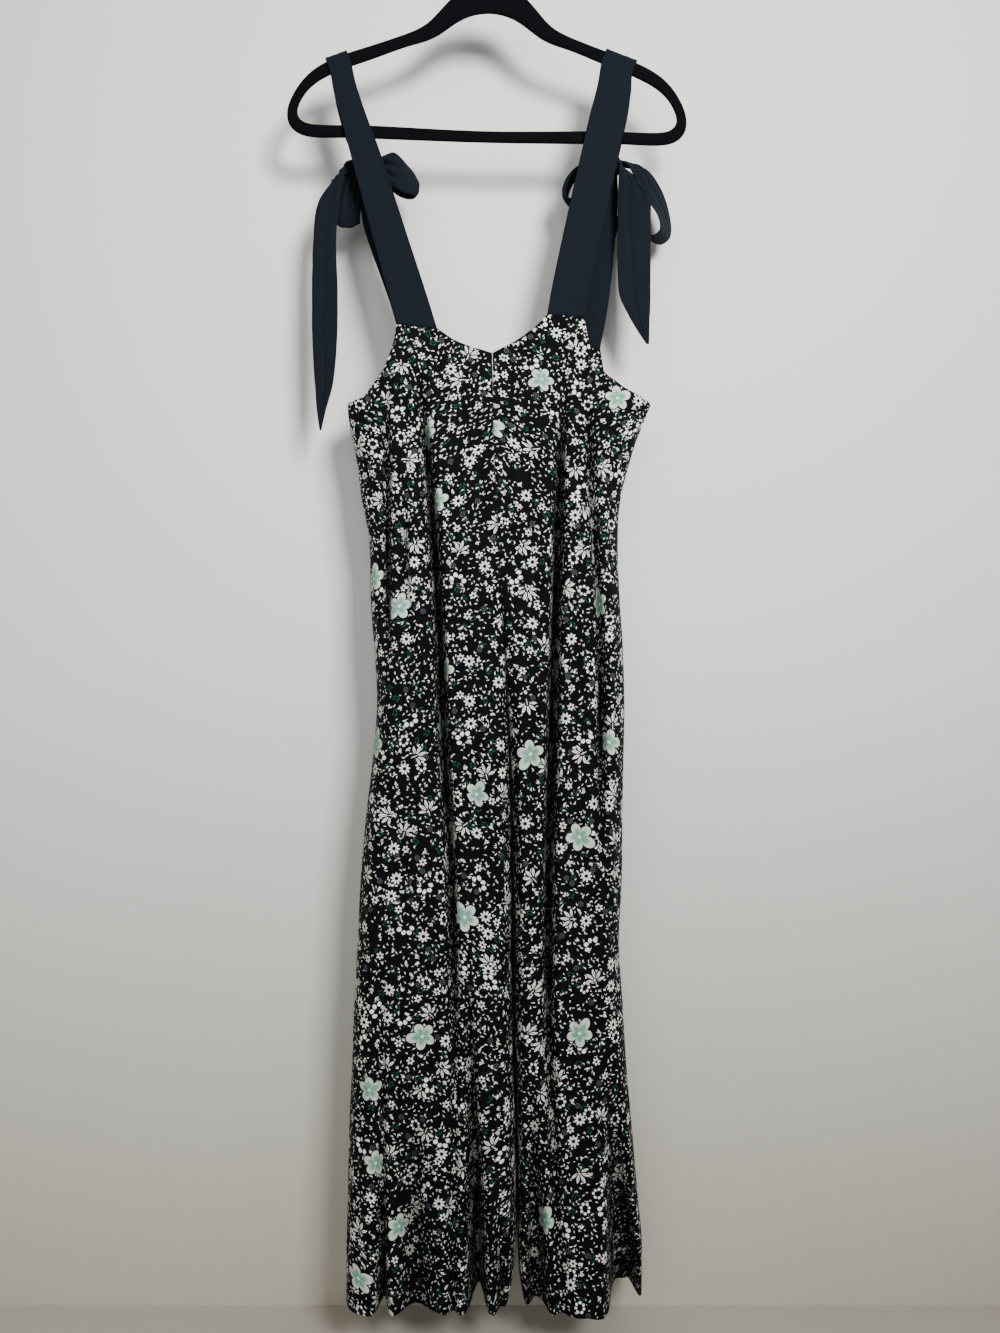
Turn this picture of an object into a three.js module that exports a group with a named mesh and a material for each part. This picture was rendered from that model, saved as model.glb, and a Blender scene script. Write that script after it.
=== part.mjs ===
import * as THREE from 'three';

// A sleeveless wide-leg jumpsuit with tie straps, hanging on a slim hanger.
// Millimetres, +Z up. The front faces -Y, and the wearer's left is at +X.
// The origin is the top of the inside of the hook, where a rail carries it.

// Driving sizes
const CLOTH = 1.5;
const STRAP_CLOTH = 1.8;
const SEAM_GAP = 0.3;
const STRAP_SEAM_GAP = 0.45;
const BAR_GAP = 0.5;
const KNOT_GAP = 0.8;
const HEM = -1496;
const CROTCH = -976;
const UNDERARM = -526;
const BAND = -566;
const INSEAM_TOP = CROTCH + 60;
const BAR_HEIGHT = 13;
const BAR_DEPTH = 5.5;
const BAR_BEVEL = 1.5;
const HANGER_TILT = 1.4;
const HANGER_MIDDLE = -160;
const WIRE_RADIUS = 1.7;
const HOOK_RADIUS = 21;

// How finely each form is divided
const ROUND_STEPS = 4;
const BAND_STEPS = 3;
const FRONT_STEPS = { middle: 20, levels: 21 };
const BACK_STEPS = { middle: 12, levels: 17 };
const RIBBON_COLUMNS = 4;
const TURN_STEPS = 6;
const HANGER_STEPS = 60;

// Turns rows of numbers into records with one name for each column.
function table(names, rows) {
  const keys = names.split(' ');
  return rows.map((row) => Object.fromEntries(row.map((value, i) => [keys[i], value])));
}

// Level sections. right and left are the side seams, centre is the middle seam, part is half the gap
// between the two halves there, seam is the depth of the left side seam, round is how far in from
// the side seam the section turns, and front and back are how far each face stands off the middle.
const SECTIONS = table('z right centre left part seam round front back', [
  [-430, -154, 5, 178, 0.2, 0, 58, 14, 18],
  [UNDERARM, -154, 5, 178, 0.2, 0, 55, 27, 23],
  [-543, -153, 5, 170, 0.2, 0, 50, 29, 24],
  [-586, -144, 7, 156, 0.2, 0, 42, 33, 27],
  [-630, -138, 9, 145, 0.3, 0, 36, 36, 30],
  [-674, -130, 12, 142, 0.5, 0, 31, 38, 32],
  [-740, -128, 15, 144, 0.8, 0, 28, 41, 35],
  [-784, -125, 18, 147, 1, 0, 26, 42, 37],
  [-850, -121, 21, 149, 1, 0, 26, 44, 39],
  [-916, -126, 24, 148, 1, 0, 26, 46, 42],
  [CROTCH, -133, 26, 147, 1, 0, 26, 47, 44],
  [-1048, -139, 27, 146, 1, 0, 26, 48, 45],
  [-1114, -142, 27, 143, 1, 0, 26, 48, 46],
  [-1180, -146, 28, 147, 1, 0, 26, 48, 47],
  [-1245, -148, 29, 151, 1, 2, 26, 48, 48],
  [-1311, -151, 31, 157, 1, 5, 26, 48, 49],
  [-1399, -153, 32, 165, 1.2, 10, 26, 49, 50],
  [-1440, -154, 32, 169, 1.6, 15, 23, 51, 50],
  [-1472, -154, 31, 169, 3.5, 18, 21, 53, 50],
  [HEM, -154, 30.5, 169, 8, 20, 20, 54, 50],
]);

// Width of the turn into the middle seam, how far in from a panel's edges its folds reach full depth,
// and where each middle seam starts to sink to the crotch
const CENTRE_ROUND = 24;
const FOLDS_START = 14;
const SINK = { front: { top: -700, power: 1.5 }, back: { top: -620, power: 1.8 } };

// Top edges from the underarm to the middle seam. share is the part of the columns that lie before.
const TOPS = {
  front: {
    right: table('share x z', [
      [0, -154, UNDERARM], [0.1, -134, -522], [0.15, -128, -514], [0.2, -112, -491],
      [0.24, -104, -469], [0.286, -98.7, -442], [0.571, -55.2, -446.3],
      [0.66, -39, -458], [0.8, -18, -467], [1, 4.8, -474],
    ]),
    left: table('share x z', [
      [0, 178, UNDERARM], [0.07, 165, -520], [0.14, 147, -512], [0.2, 128, -498],
      [0.24, 112, -476], [0.286, 104.3, -434], [0.571, 64.3, -431],
      [0.66, 49, -447], [0.8, 31, -460], [1, 5.2, -474],
    ]),
  },
  back: {
    right: table('share x z', [
      [0, -154, UNDERARM], [0.12, -132, -516], [0.22, -106, -486], [0.3, -95, -458],
      [0.6, -54, -458], [0.75, -34, -472], [1, 4.8, -482],
    ]),
    left: table('share x z', [
      [0, 178, UNDERARM], [0.12, 152, -514], [0.22, 131, -494], [0.3, 125, -459],
      [0.6, 84, -456], [0.75, 52, -470], [1, 5.2, -482],
    ]),
  },
};
const STRAP_SHARES = { front: [0.286, 0.571], back: [0.3, 0.6] };

// Folds that hang down each panel. Each station has its height, its place, how deep the trough is,
// how wide it is, and how square its bottom is.
const FOLD_COLUMNS = 'z x depth width square';
const FOLDS = {
  front: {
    right: [
      table(FOLD_COLUMNS, [
        [-520, -109, 0, 9, 2], [-600, -109, 9, 9, 2], [-740, -108, 11, 9, 2], [-830, -106, 0, 9, 2],
      ]),
      table(FOLD_COLUMNS, [
        [-610, -90, 0, 7, 2], [-690, -88, 6, 7, 2], [-760, -86, 0, 7, 2],
      ]),
      table(FOLD_COLUMNS, [
        [-490, -76, 2, 9, 2], [-602, -64, 15, 9, 2], [-742, -54, 20, 10, 2], [-903, -47, 20, 10, 2],
        [-1042, -39, 14, 10, 2], [-1230, -35, 10, 10, 2], [-1440, -36, 11, 10, 2], [HEM, -36, 12, 10, 2],
      ]),
      table(FOLD_COLUMNS, [
        [-1140, -22, 0, 10, 2], [-1214, -19, 12, 11, 2], [-1350, -14, 30, 14, 2], [HEM, -10, 69, 17, 2],
      ]),
      table(FOLD_COLUMNS, [
        [-1120, -112, 0, 8, 2], [-1250, -112, 7, 8, 2], [-1400, -112, 18, 9, 2], [HEM, -112, 38, 11, 2],
      ]),
      table(FOLD_COLUMNS, [
        [-1270, -78, 0, 12, 2], [-1380, -78, 8, 18, 2], [HEM, -76, 18, 32, 2],
      ]),
      table(FOLD_COLUMNS, [
        [-1360, 12, 0, 10, 2], [HEM, 15, 24, 12, 2],
      ]),
    ],
    left: [
      table(FOLD_COLUMNS, [
        [-480, 84, 2, 9, 2], [-591, 78, 14, 9, 2], [-742, 73, 20, 10, 2], [-849, 70, 22, 10, 2],
        [-956, 67, 22, 10, 2], [-1063, 65, 20, 10, 2], [-1200, 65, 16, 10, 2], [-1385, 73, 12, 11, 2],
        [HEM, 78, 8, 12, 2],
      ]),
      table(FOLD_COLUMNS, [
        [-520, 108, 0, 9, 2], [-634, 112, 9, 9, 2], [-785, 120, 11, 9, 2], [-945, 121, 8, 9, 2],
        [-1060, 122, 0, 9, 2],
      ]),
      table(FOLD_COLUMNS, [
        [-1190, 128, 0, 14, 2], [-1300, 134, 14, 18, 2.4], [-1400, 142, 38, 26, 3], [HEM, 150, 75, 36, 4],
      ]),
      table(FOLD_COLUMNS, [
        [-1150, 42, 0, 9, 2], [-1280, 46, 8, 14, 2], [HEM, 52, 40, 24, 3],
      ]),
    ],
  },
  back: {
    right: [
      table(FOLD_COLUMNS, [
        [-500, -92, 2, 12, 2], [-640, -94, 11, 12, 2], [-900, -98, 14, 13, 2], [-1200, -104, 12, 13, 2],
        [HEM, -94, 20, 14, 2],
      ]),
      table(FOLD_COLUMNS, [
        [-560, -38, 0, 12, 2], [-720, -42, 9, 12, 2], [-980, -52, 16, 13, 2], [-1300, -50, 12, 14, 2],
        [HEM, -48, 10, 14, 2],
      ]),
    ],
    left: [
      table(FOLD_COLUMNS, [
        [-500, 116, 2, 12, 2], [-660, 108, 12, 12, 2], [-900, 104, 15, 13, 2], [-1240, 98, 12, 14, 2],
        [HEM, 96, 14, 15, 2],
      ]),
      table(FOLD_COLUMNS, [
        [-600, 50, 0, 12, 2], [-800, 58, 10, 12, 2], [-1020, 66, 14, 13, 2], [-1360, 62, 10, 14, 2],
        [HEM, 60, 16, 14, 2],
      ]),
    ],
  },
};

// Knots of the two bows: centre and half sizes
const KNOTS = {
  right: { x: -141, y: 16, z: -256, rx: 11, ry: 8, rz: 11 },
  left: { x: 138, y: 16, z: -256, rx: 11, ry: 8, rz: 11 },
};

// Where each front strap crosses the hanger: the bar's top there, and the bar's slope in degrees
const CROSSINGS = {
  right: { x: -166, z: -143.6, slope: 20, width: 25 },
  left: { x: 146, z: -144, slope: -21, width: 36 },
};

// Rows of a ribbon: centre, width, and where the width points. lean is its slope in the front view
// and turn is how far it swings round to the back, both in degrees.
const RIBBON = 'x y z width lean turn';
const STRAPS = {
  right: {
    frontUp: table(RIBBON, [
      [-90, -13.5, -400, 40, 8, 0], [-111, -11.5, -330, 36, 14, 0], [-133, -9, -256, 32, 16, 0],
      [-145, -7.5, -218, 28, 17, 0], [-156, -6, -182, 26, 18, 0],
    ]),
    frontDown: table(RIBBON, [
      [-156, 7, -188, 25, 18, 0], [-149, 11, -222, 21, 14, 0], [-143, 15, -244, 14, 6, 0],
    ]),
    back: table(RIBBON, [
      [-139, 17, -268, 13, 8, 0], [-134, 18, -288, 20, 14, 0], [-124, 19, -322, 29, 16, 0],
      [-93, 20, -404, 34, 10, 0],
    ]),
  },
  left: {
    frontUp: table(RIBBON, [
      [90.5, -13.5, -400, 41, -6, 0], [105.5, -11.5, -330, 41, -11, 0], [121.5, -9, -256, 40, -12, 0],
      [130, -7.5, -218, 40, -13, 0], [138, -6, -182, 38, -16, 0],
    ]),
    frontDown: table(RIBBON, [
      [141, 7, -188, 32, -16, 0], [139, 11, -222, 23, -10, 0], [138, 15, -244, 14, -4, 0],
    ]),
    back: table(RIBBON, [
      [137, 17, -268, 13, -6, 0], [136, 18, -288, 17, -8, 0], [132, 19, -332, 20, -9, 0],
      [118, 20, -404, 33, -6, 0],
    ]),
  },
};

const BOWS = {
  right: {
    bow_loop_inner: table(RIBBON, [
      [-127.5, 13.5, -257, 13, 84, 0], [-113, 10, -261, 30, 88, 0], [-97, 8, -267, 42, 98, 0],
      [-84, 11, -272, 43, 106, 0], [-78, 17, -274, 38, 108, 0], [-84, 23, -272, 43, 106, 0],
      [-97, 26, -267, 42, 98, 0], [-113, 24, -261, 28, 88, 0], [-127.5, 18.5, -257, 13, 84, 0],
    ]),
    bow_loop_outer: table(RIBBON, [
      [-150.5, 13, -265, 11, -36, 0], [-156, 13, -288, 28, -22, 0], [-160, 15, -311, 32, -14, 0],
      [-161, 20, -323, 33, -10, 0], [-160, 26, -311, 31, -14, 0], [-155, 26, -288, 26, -22, 0],
      [-150.5, 20, -265, 10, -36, 0],
    ]),
    tie_tail: table(RIBBON, [
      [-152, 9, -257, 12, 82, 0], [-164, 5, -269, 23, 56, 0], [-175, 5, -298, 26, 18, 0],
      [-180, 5, -340, 25, 4, 0], [-180, 5, -400, 28, 0, 0], [-180, 5, -450, 27, 0, 0],
      [-181, 5, -500, 20, 0, 0], [-184, 5, -530, 10, 0, 0], [-185, 5, -552, 2, 0, 0],
    ]),
    tie_tail_hidden: table(RIBBON, [
      [-139, 24, -268, 13, 10, 0], [-133, 32, -284, 22, 14, 0], [-124, 32, -318, 25, 14, 0],
      [-117, 32, -350, 14, 14, 0], [-115, 32, -364, 3, 14, 0],
    ]),
  },
  left: {
    bow_loop_inner: table(RIBBON, [
      [126, 17, -252, 8, 0, 80], [108, 20, -256, 20, 0, 75], [93, 21, -268, 22, 0, 75],
      [86, 21, -283, 22, 0, 75], [88, 21, -293, 22, 0, 75], [98, 21, -295, 22, 0, 75],
      [112, 20, -278, 18, 0, 75], [126, 17, -261, 8, 0, 80],
    ]),
    bow_loop_outer: table(RIBBON, [
      [150, 17.5, -252, 8, 10, 84], [166, 24, -255.5, 24, 40, 55], [182, 28, -277, 32, 34, 48],
      [198, 28, -309, 30, 8, 64], [200, 28, -329, 30, 0, 66], [189, 28, -336, 30, 0, 66],
      [170, 27, -318, 26, 0, 72], [165, 24, -272, 19, 0, 76], [150, 17.5, -259.5, 8, 0, 84],
    ]),
    tie_tail: table(RIBBON, [
      [146, 8, -258, 11, -80, 0], [159, 2, -281, 34, -30, 0], [161, 5, -320, 36, -4, 0],
      [161, 6, -362, 36, 0, 0], [162, 6, -402, 34, 0, 0], [166, 6, -422, 25, 0, 0],
      [171, 5, -441, 14, 0, 0], [176, 5, -457, 3, 0, 0],
    ]),
    tie_tail_hidden: table(RIBBON, [
      [137, 26, -268, 13, -8, 0], [134, 36, -284, 22, -10, 0], [128, 38, -318, 25, -10, 0],
      [122, 38, -352, 14, -10, 0], [120, 38, -366, 3, -10, 0],
    ]),
  },
};

// Half outlines of the hanger before it tilts, from the middle of the top to the middle of the bottom
const HANGER_OUTER = table('x z', [
  [0, -65], [28, -68], [43, -81], [58, -98], [70, -111], [90, -120], [130, -134.5], [168, -148],
  [194, -163], [211, -184], [221, -209], [217, -227], [203, -235], [150, -235.5], [0, -237.5],
]);
const HANGER_INNER = table('x z', [
  [0, -95], [26, -100.5], [46, -114], [61, -125], [90, -134], [128, -149], [165, -163],
  [194, -180], [208, -202], [210, -216], [202, -221], [126, -222], [0, -225],
]);
const HUB_TOP = -65;

// Where the hook's stem ends, how far sideways it bends there, and the angles its round part spans
const HOOK_STEM = -54;
const HOOK_BEND = { x: 3, z: -45 };
const HOOK_ARC = { from: -40, to: 200, step: 24 };

// Materials
const MATERIALS = {
  print: { color: 0x3b3d3c, roughness: 0.85, metalness: 0 },
  strap: { color: 0x141a22, roughness: 0.8, metalness: 0 },
  flock: { color: 0x15181d, roughness: 0.95, metalness: 0 },
  wire: { color: 0xb9bcc0, roughness: 0.25, metalness: 1 },
};

// The value of one column at a place between the rows, on a smooth curve through them
function valueAt(rows, key, column, place) {
  const falling = rows[0][key] > rows[rows.length - 1][key];
  const passed = (row) => (falling ? row[key] >= place : row[key] <= place);
  let i = rows.findLastIndex(passed);
  i = THREE.MathUtils.clamp(i, 0, rows.length - 2);
  const [a, b] = [rows[i], rows[i + 1]];
  const span = b[key] - a[key];
  const t = THREE.MathUtils.clamp((place - a[key]) / span, 0, 1);
  const slope = (p, q) => (q[column] - p[column]) / (q[key] - p[key]);
  const slopeA = i > 0 ? slope(rows[i - 1], b) : slope(a, b);
  const slopeB = i + 2 < rows.length ? slope(a, rows[i + 2]) : slope(a, b);
  const [t2, t3] = [t * t, t * t * t];
  return (2 * t3 - 3 * t2 + 1) * a[column] + (t3 - 2 * t2 + t) * span * slopeA
    + (3 * t2 - 2 * t3) * b[column] + (t3 - t2) * span * slopeB;
}

// A straight line between the rows, for outlines with corners
function lineAt(rows, key, column, place) {
  const i = THREE.MathUtils.clamp(rows.findLastIndex((row) => row[key] <= place), 0, rows.length - 2);
  const [a, b] = [rows[i], rows[i + 1]];
  return THREE.MathUtils.mapLinear(place, a[key], b[key], a[column], b[column]);
}

// Height of a quarter circle that rises from 0 at share 0 to 1 at share 1
function quarter(share) {
  const left = 1 - THREE.MathUtils.clamp(share, 0, 1);
  return Math.sqrt(1 - left * left);
}

function sideX(side, z) {
  return valueAt(SECTIONS, 'z', side, z);
}

function innerX(side, z) {
  const sign = side === 'left' ? 1 : -1;
  return valueAt(SECTIONS, 'z', 'centre', z) + sign * valueAt(SECTIONS, 'z', 'part', z);
}

// How much of a panel's depth is lost at the middle seam, from none high up to all at the crotch
function sinkShare(face, z) {
  const { top, power } = SINK[face];
  return Math.pow(THREE.MathUtils.clamp((top - z) / (top - CROTCH), 0, 1), power);
}

// How far the folds push a panel in at one point
function foldDepth(side, face, x, z) {
  let depth = 0;
  for (const fold of FOLDS[face][side]) {
    const here = (column) => valueAt(fold, 'z', column, z);
    const reach = Math.abs(x - here('x')) / here('width');
    const inside = z <= fold[0].z && z >= fold[fold.length - 1].z;
    depth += inside ? Math.max(here('depth'), 0) * Math.exp(-Math.pow(reach, here('square'))) : 0;
  }
  return depth;
}

// The depth of a panel's cloth at one point of the front view
function clothY(side, face, x, z) {
  const sign = face === 'back' ? 1 : -1;
  const fromSide = Math.abs(x - sideX(side, z));
  const fromCentre = Math.abs(x - innerX(side, z));
  const depth = valueAt(SECTIONS, 'z', face, z);
  const seam = side === 'left' ? valueAt(SECTIONS, 'z', 'seam', z) : 0;
  const sideTurn = quarter(fromSide / valueAt(SECTIONS, 'z', 'round', z));
  const centreTurn = quarter(fromCentre / CENTRE_ROUND);
  const flat = THREE.MathUtils.smoothstep(Math.min(fromSide, fromCentre), 0, FOLDS_START);
  const out = depth * (sideTurn - sinkShare(face, z) * (1 - centreTurn))
    - flat * foldDepth(side, face, x, z);
  const seamHalfGap = SEAM_GAP / 2;
  return seam * (1 - sideTurn) + sign * (out + seamHalfGap);
}

// Places across a level, close together where the cloth turns at both ends
function columnPlaces(side, z, middleSteps) {
  const start = sideX(side, z);
  const end = innerX(side, z);
  const inward = Math.sign(end - start);
  const round = valueAt(SECTIONS, 'z', 'round', z);
  const turned = (i) => 1 - Math.cos((i / ROUND_STEPS) * Math.PI / 2);
  const places = [];
  for (let i = 0; i < ROUND_STEPS; i++) {
    places.push(start + inward * round * turned(i));
  }
  const from = start + inward * round;
  const to = end - inward * CENTRE_ROUND;
  for (let i = 0; i <= middleSteps; i++) {
    places.push(THREE.MathUtils.lerp(from, to, i / middleSteps));
  }
  for (let i = ROUND_STEPS - 1; i >= 0; i--) {
    places.push(end - inward * CENTRE_ROUND * turned(i));
  }
  return places;
}

function topPoint(side, face, share) {
  const rows = TOPS[face][side];
  const x = lineAt(rows, 'share', 'x', share);
  const z = lineAt(rows, 'share', 'z', share);
  return new THREE.Vector3(x, clothY(side, face, x, z), z);
}

// Points of one panel: rows from the top edge down to the hem, columns from side to middle seam
function panelGrid(side, face) {
  const steps = face === 'front' ? FRONT_STEPS : BACK_STEPS;
  const grid = [];
  const bandPlaces = columnPlaces(side, BAND, steps.middle);
  for (let row = 0; row < BAND_STEPS; row++) {
    const down = row / BAND_STEPS;
    grid.push(bandPlaces.map((bandX, i) => {
      const top = topPoint(side, face, i / (bandPlaces.length - 1));
      const x = THREE.MathUtils.lerp(top.x, bandX, down);
      const z = THREE.MathUtils.lerp(top.z, BAND, down);
      return new THREE.Vector3(x, clothY(side, face, x, z), z);
    }));
  }
  for (let row = 0; row <= steps.levels; row++) {
    const z = THREE.MathUtils.lerp(BAND, HEM, row / steps.levels);
    const places = columnPlaces(side, z, steps.middle);
    grid.push(places.map((x) => new THREE.Vector3(x, clothY(side, face, x, z), z)));
  }
  return grid;
}

// The direction across a grid's surface at one point
function gridNormal(grid, row, column) {
  const [rows, columns] = [grid.length, grid[0].length];
  const along = grid[Math.min(row + 1, rows - 1)][column].clone().sub(grid[Math.max(row - 1, 0)][column]);
  const across = grid[row][Math.min(column + 1, columns - 1)].clone()
    .sub(grid[row][Math.max(column - 1, 0)]);
  return along.cross(across).normalize();
}

// At the side seams and inseams front and back meet edge to edge, so the cloth there faces sideways.
function seamNormal(grid, row, column) {
  const normal = gridNormal(grid, row, column);
  const inseam = column === grid[0].length - 1 && grid[row][column].z < INSEAM_TOP;
  return column === 0 || inseam ? normal.setY(0).normalize() : normal;
}

// Gives a grid of points a thickness, half on each side, as one closed body
function wall(grid, thickness, normalAt = gridNormal) {
  const [rows, columns] = [grid.length, grid[0].length];
  const positions = [];
  for (const sign of [1, -1]) {
    grid.forEach((line, row) => line.forEach((point, column) => {
      const step = normalAt(grid, row, column).multiplyScalar(sign * thickness / 2);
      positions.push(...point.clone().add(step).toArray());
    }));
  }
  const at = (row, column, under) => (under ? rows * columns : 0) + row * columns + column;
  const faces = [];
  const quad = (a, b, c, d) => faces.push(a, b, c, a, c, d);
  for (let r = 0; r + 1 < rows; r++) {
    for (let c = 0; c + 1 < columns; c++) {
      quad(at(r, c), at(r + 1, c), at(r + 1, c + 1), at(r, c + 1));
      quad(at(r, c, true), at(r, c + 1, true), at(r + 1, c + 1, true), at(r + 1, c, true));
    }
    const last = columns - 1;
    quad(at(r, 0), at(r, 0, true), at(r + 1, 0, true), at(r + 1, 0));
    quad(at(r, last), at(r + 1, last), at(r + 1, last, true), at(r, last, true));
  }
  for (let c = 0; c + 1 < columns; c++) {
    const last = rows - 1;
    quad(at(0, c), at(0, c + 1), at(0, c + 1, true), at(0, c, true));
    quad(at(last, c), at(last, c, true), at(last, c + 1, true), at(last, c + 1));
  }
  return closedBody(positions, faces);
}

// A body whose faces point out, whichever way round they were listed
function closedBody(positions, faces) {
  const corner = (i) => new THREE.Vector3().fromArray(positions, 3 * i);
  let volume = 0;
  for (let i = 0; i < faces.length; i += 3) {
    const [a, b, c] = [corner(faces[i]), corner(faces[i + 1]), corner(faces[i + 2])];
    volume += a.dot(b.cross(c));
  }
  const geometry = new THREE.BufferGeometry();
  geometry.setAttribute('position', new THREE.Float32BufferAttribute(positions, 3));
  geometry.setIndex(volume > 0 ? faces : faces.reverse());
  geometry.computeVertexNormals();
  return geometry;
}

// The points across one row of a ribbon
function ribbonRow({ x, y, z, width, lean, turn }) {
  const [up, round] = [THREE.MathUtils.degToRad(lean), THREE.MathUtils.degToRad(turn)];
  const across = new THREE.Vector3(
    Math.cos(up) * Math.cos(round), Math.sin(round), Math.sin(up) * Math.cos(round));
  const points = [];
  for (let i = 0; i <= RIBBON_COLUMNS; i++) {
    const reach = (i / RIBBON_COLUMNS - 0.5) * width;
    points.push(new THREE.Vector3(x, y, z).addScaledVector(across, reach));
  }
  return points;
}

// The end of a strap that is sewn to a panel's top edge
function strapSeam(side, face) {
  const [outer, inner] = STRAP_SHARES[face].map((share) => topPoint(side, face, share));
  const [low, high] = outer.x < inner.x ? [outer, inner] : [inner, outer];
  const points = [];
  for (let i = 0; i <= RIBBON_COLUMNS; i++) {
    const point = low.clone().lerp(high, i / RIBBON_COLUMNS);
    point.z += STRAP_SEAM_GAP;
    points.push(point);
  }
  return points;
}

// The rows of a front strap where it runs up to the hanger's bar, over it and down behind
function overBar({ x, z, slope, width }) {
  const tilt = THREE.MathUtils.degToRad(slope);
  const radius = BAR_DEPTH / 2 + BAR_GAP + STRAP_CLOTH / 2;
  const rows = [];
  const push = (y, height) => rows.push({
    x: x - Math.sin(tilt) * height, y, z: z + Math.cos(tilt) * height, width, lean: slope, turn: 0,
  });
  push(-radius, -BAR_HEIGHT);
  for (let i = 0; i <= TURN_STEPS; i++) {
    const angle = (i / TURN_STEPS) * Math.PI;
    push(-radius * Math.cos(angle), radius * Math.sin(angle) - BAR_BEVEL);
  }
  push(radius, -BAR_HEIGHT);
  return rows;
}

// Moves a ribbon's end row straight out from the knot's centre until it is just clear of the knot
function knotRow(side, row) {
  const knot = KNOTS[side];
  const half = new THREE.Vector3(knot.rx, knot.ry, knot.rz);
  const centre = new THREE.Vector3(knot.x, knot.y, knot.z);
  const towards = new THREE.Vector3(row.x, row.y, row.z).sub(centre);
  const reach = 1 / towards.clone().divide(half).length() + KNOT_GAP / towards.length();
  const { x, y, z } = centre.addScaledVector(towards, reach);
  return { ...row, x, y, z };
}

function frontStrap(side) {
  const { frontUp, frontDown } = STRAPS[side];
  const down = [...frontDown];
  down.push(knotRow(side, down.pop()));
  const rows = [...frontUp, ...overBar(CROSSINGS[side]), ...down];
  return wall([strapSeam(side, 'front'), ...rows.map(ribbonRow)], STRAP_CLOTH);
}

function backStrap(side) {
  const [end, ...rows] = STRAPS[side].back;
  return wall([...[knotRow(side, end), ...rows].map(ribbonRow), strapSeam(side, 'back')], STRAP_CLOTH);
}

// A loop goes back into the knot and a tail ends free.
function bowPiece(side, name, rows) {
  const placed = rows.map((row, i) => {
    const atKnot = i === 0 || (i === rows.length - 1 && name.startsWith('bow_loop'));
    return atKnot ? knotRow(side, row) : row;
  });
  return wall(placed.map(ribbonRow), STRAP_CLOTH);
}

function knot(side) {
  const { rx, ry, rz } = KNOTS[side];
  return new THREE.SphereGeometry(1, 14, 9).scale(rx, ry, rz);
}

// Mirrors a half outline and spaces points evenly round the smooth closed curve through it
function hangerLoop(half) {
  const mirrored = half.slice(1, -1).reverse().map(({ x, z }) => ({ x: -x, z }));
  const points = [...half, ...mirrored].map(({ x, z }) => new THREE.Vector3(x, 0, z));
  const curve = new THREE.CatmullRomCurve3(points, true, 'centripetal');
  return curve.getSpacedPoints(HANGER_STEPS).slice(0, -1);
}

// The corners of the bar's section between one outer and one inner point
function barSection(outer, inner) {
  const out = outer.clone().sub(inner).normalize();
  const half = BAR_DEPTH / 2;
  const corner = (from, along, y) => from.clone().addScaledVector(out, along).setY(y);
  return [
    corner(outer, 0, BAR_BEVEL - half), corner(outer, 0, half - BAR_BEVEL),
    corner(outer, -BAR_BEVEL, half), corner(inner, BAR_BEVEL, half),
    corner(inner, 0, half - BAR_BEVEL), corner(inner, 0, BAR_BEVEL - half),
    corner(inner, BAR_BEVEL, -half), corner(outer, -BAR_BEVEL, -half),
  ];
}

// One bar that runs all the way round: hub, shoulders, ends and the rail below
function hanger() {
  const inner = hangerLoop(HANGER_INNER);
  const sections = hangerLoop(HANGER_OUTER).map((point, i) => barSection(point, inner[i]));
  const corners = sections[0].length;
  const at = (section, corner) => (section % sections.length) * corners + (corner % corners);
  const faces = [];
  for (let s = 0; s < sections.length; s++) {
    for (let c = 0; c < corners; c++) {
      faces.push(at(s, c), at(s, c + 1), at(s + 1, c + 1), at(s, c), at(s + 1, c + 1), at(s + 1, c));
    }
  }
  return closedBody(sections.flat().flatMap((point) => point.toArray()), faces);
}

// The hook's wire: up from the hub, round to one side, over the top and down to its tip
function hook() {
  const radius = HOOK_RADIUS + WIRE_RADIUS;
  const points = [
    new THREE.Vector3(0, 0, HUB_TOP + 2 * SEAM_GAP),
    new THREE.Vector3(0, 0, HOOK_STEM),
    new THREE.Vector3(HOOK_BEND.x, 0, HOOK_BEND.z),
  ];
  for (let angle = HOOK_ARC.from; angle <= HOOK_ARC.to; angle += HOOK_ARC.step) {
    const turn = THREE.MathUtils.degToRad(angle);
    points.push(new THREE.Vector3(radius * Math.cos(turn), 0, radius * Math.sin(turn) - HOOK_RADIUS));
  }
  const section = new THREE.Shape().absarc(0, 0, WIRE_RADIUS, 0, 2 * Math.PI);
  return new THREE.ExtrudeGeometry(section, {
    steps: 34, curveSegments: 4, bevelEnabled: false,
    extrudePath: new THREE.CatmullRomCurve3(points),
  });
}

const jumpsuit = new THREE.Group();

function add(name, geometry, material, parent = jumpsuit) {
  const mesh = new THREE.Mesh(geometry, new THREE.MeshStandardMaterial(MATERIALS[material]));
  mesh.name = name;
  parent.add(mesh);
  return mesh;
}

for (const side of ['right', 'left']) {
  for (const face of ['front', 'back']) {
    add(`${face}_${side}`, wall(panelGrid(side, face), CLOTH, seamNormal), 'print');
  }
  add(`strap_front_${side}`, frontStrap(side), 'strap');
  add(`strap_back_${side}`, backStrap(side), 'strap');
  add(`bow_knot_${side}`, knot(side), 'strap').position.copy(KNOTS[side]);
  for (const [name, rows] of Object.entries(BOWS[side])) {
    add(`${name}_${side}`, bowPiece(side, name, rows), 'strap');
  }
}

// The hanger hangs a little down on the wearer's left
const tilted = new THREE.Group();
tilted.position.z = HANGER_MIDDLE;
tilted.rotation.y = THREE.MathUtils.degToRad(HANGER_TILT);
jumpsuit.add(tilted);
add('hanger', hanger(), 'flock', tilted).position.z = -HANGER_MIDDLE;
add('hanger_hook', hook(), 'wire');

export default jumpsuit;
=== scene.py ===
import math

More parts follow.
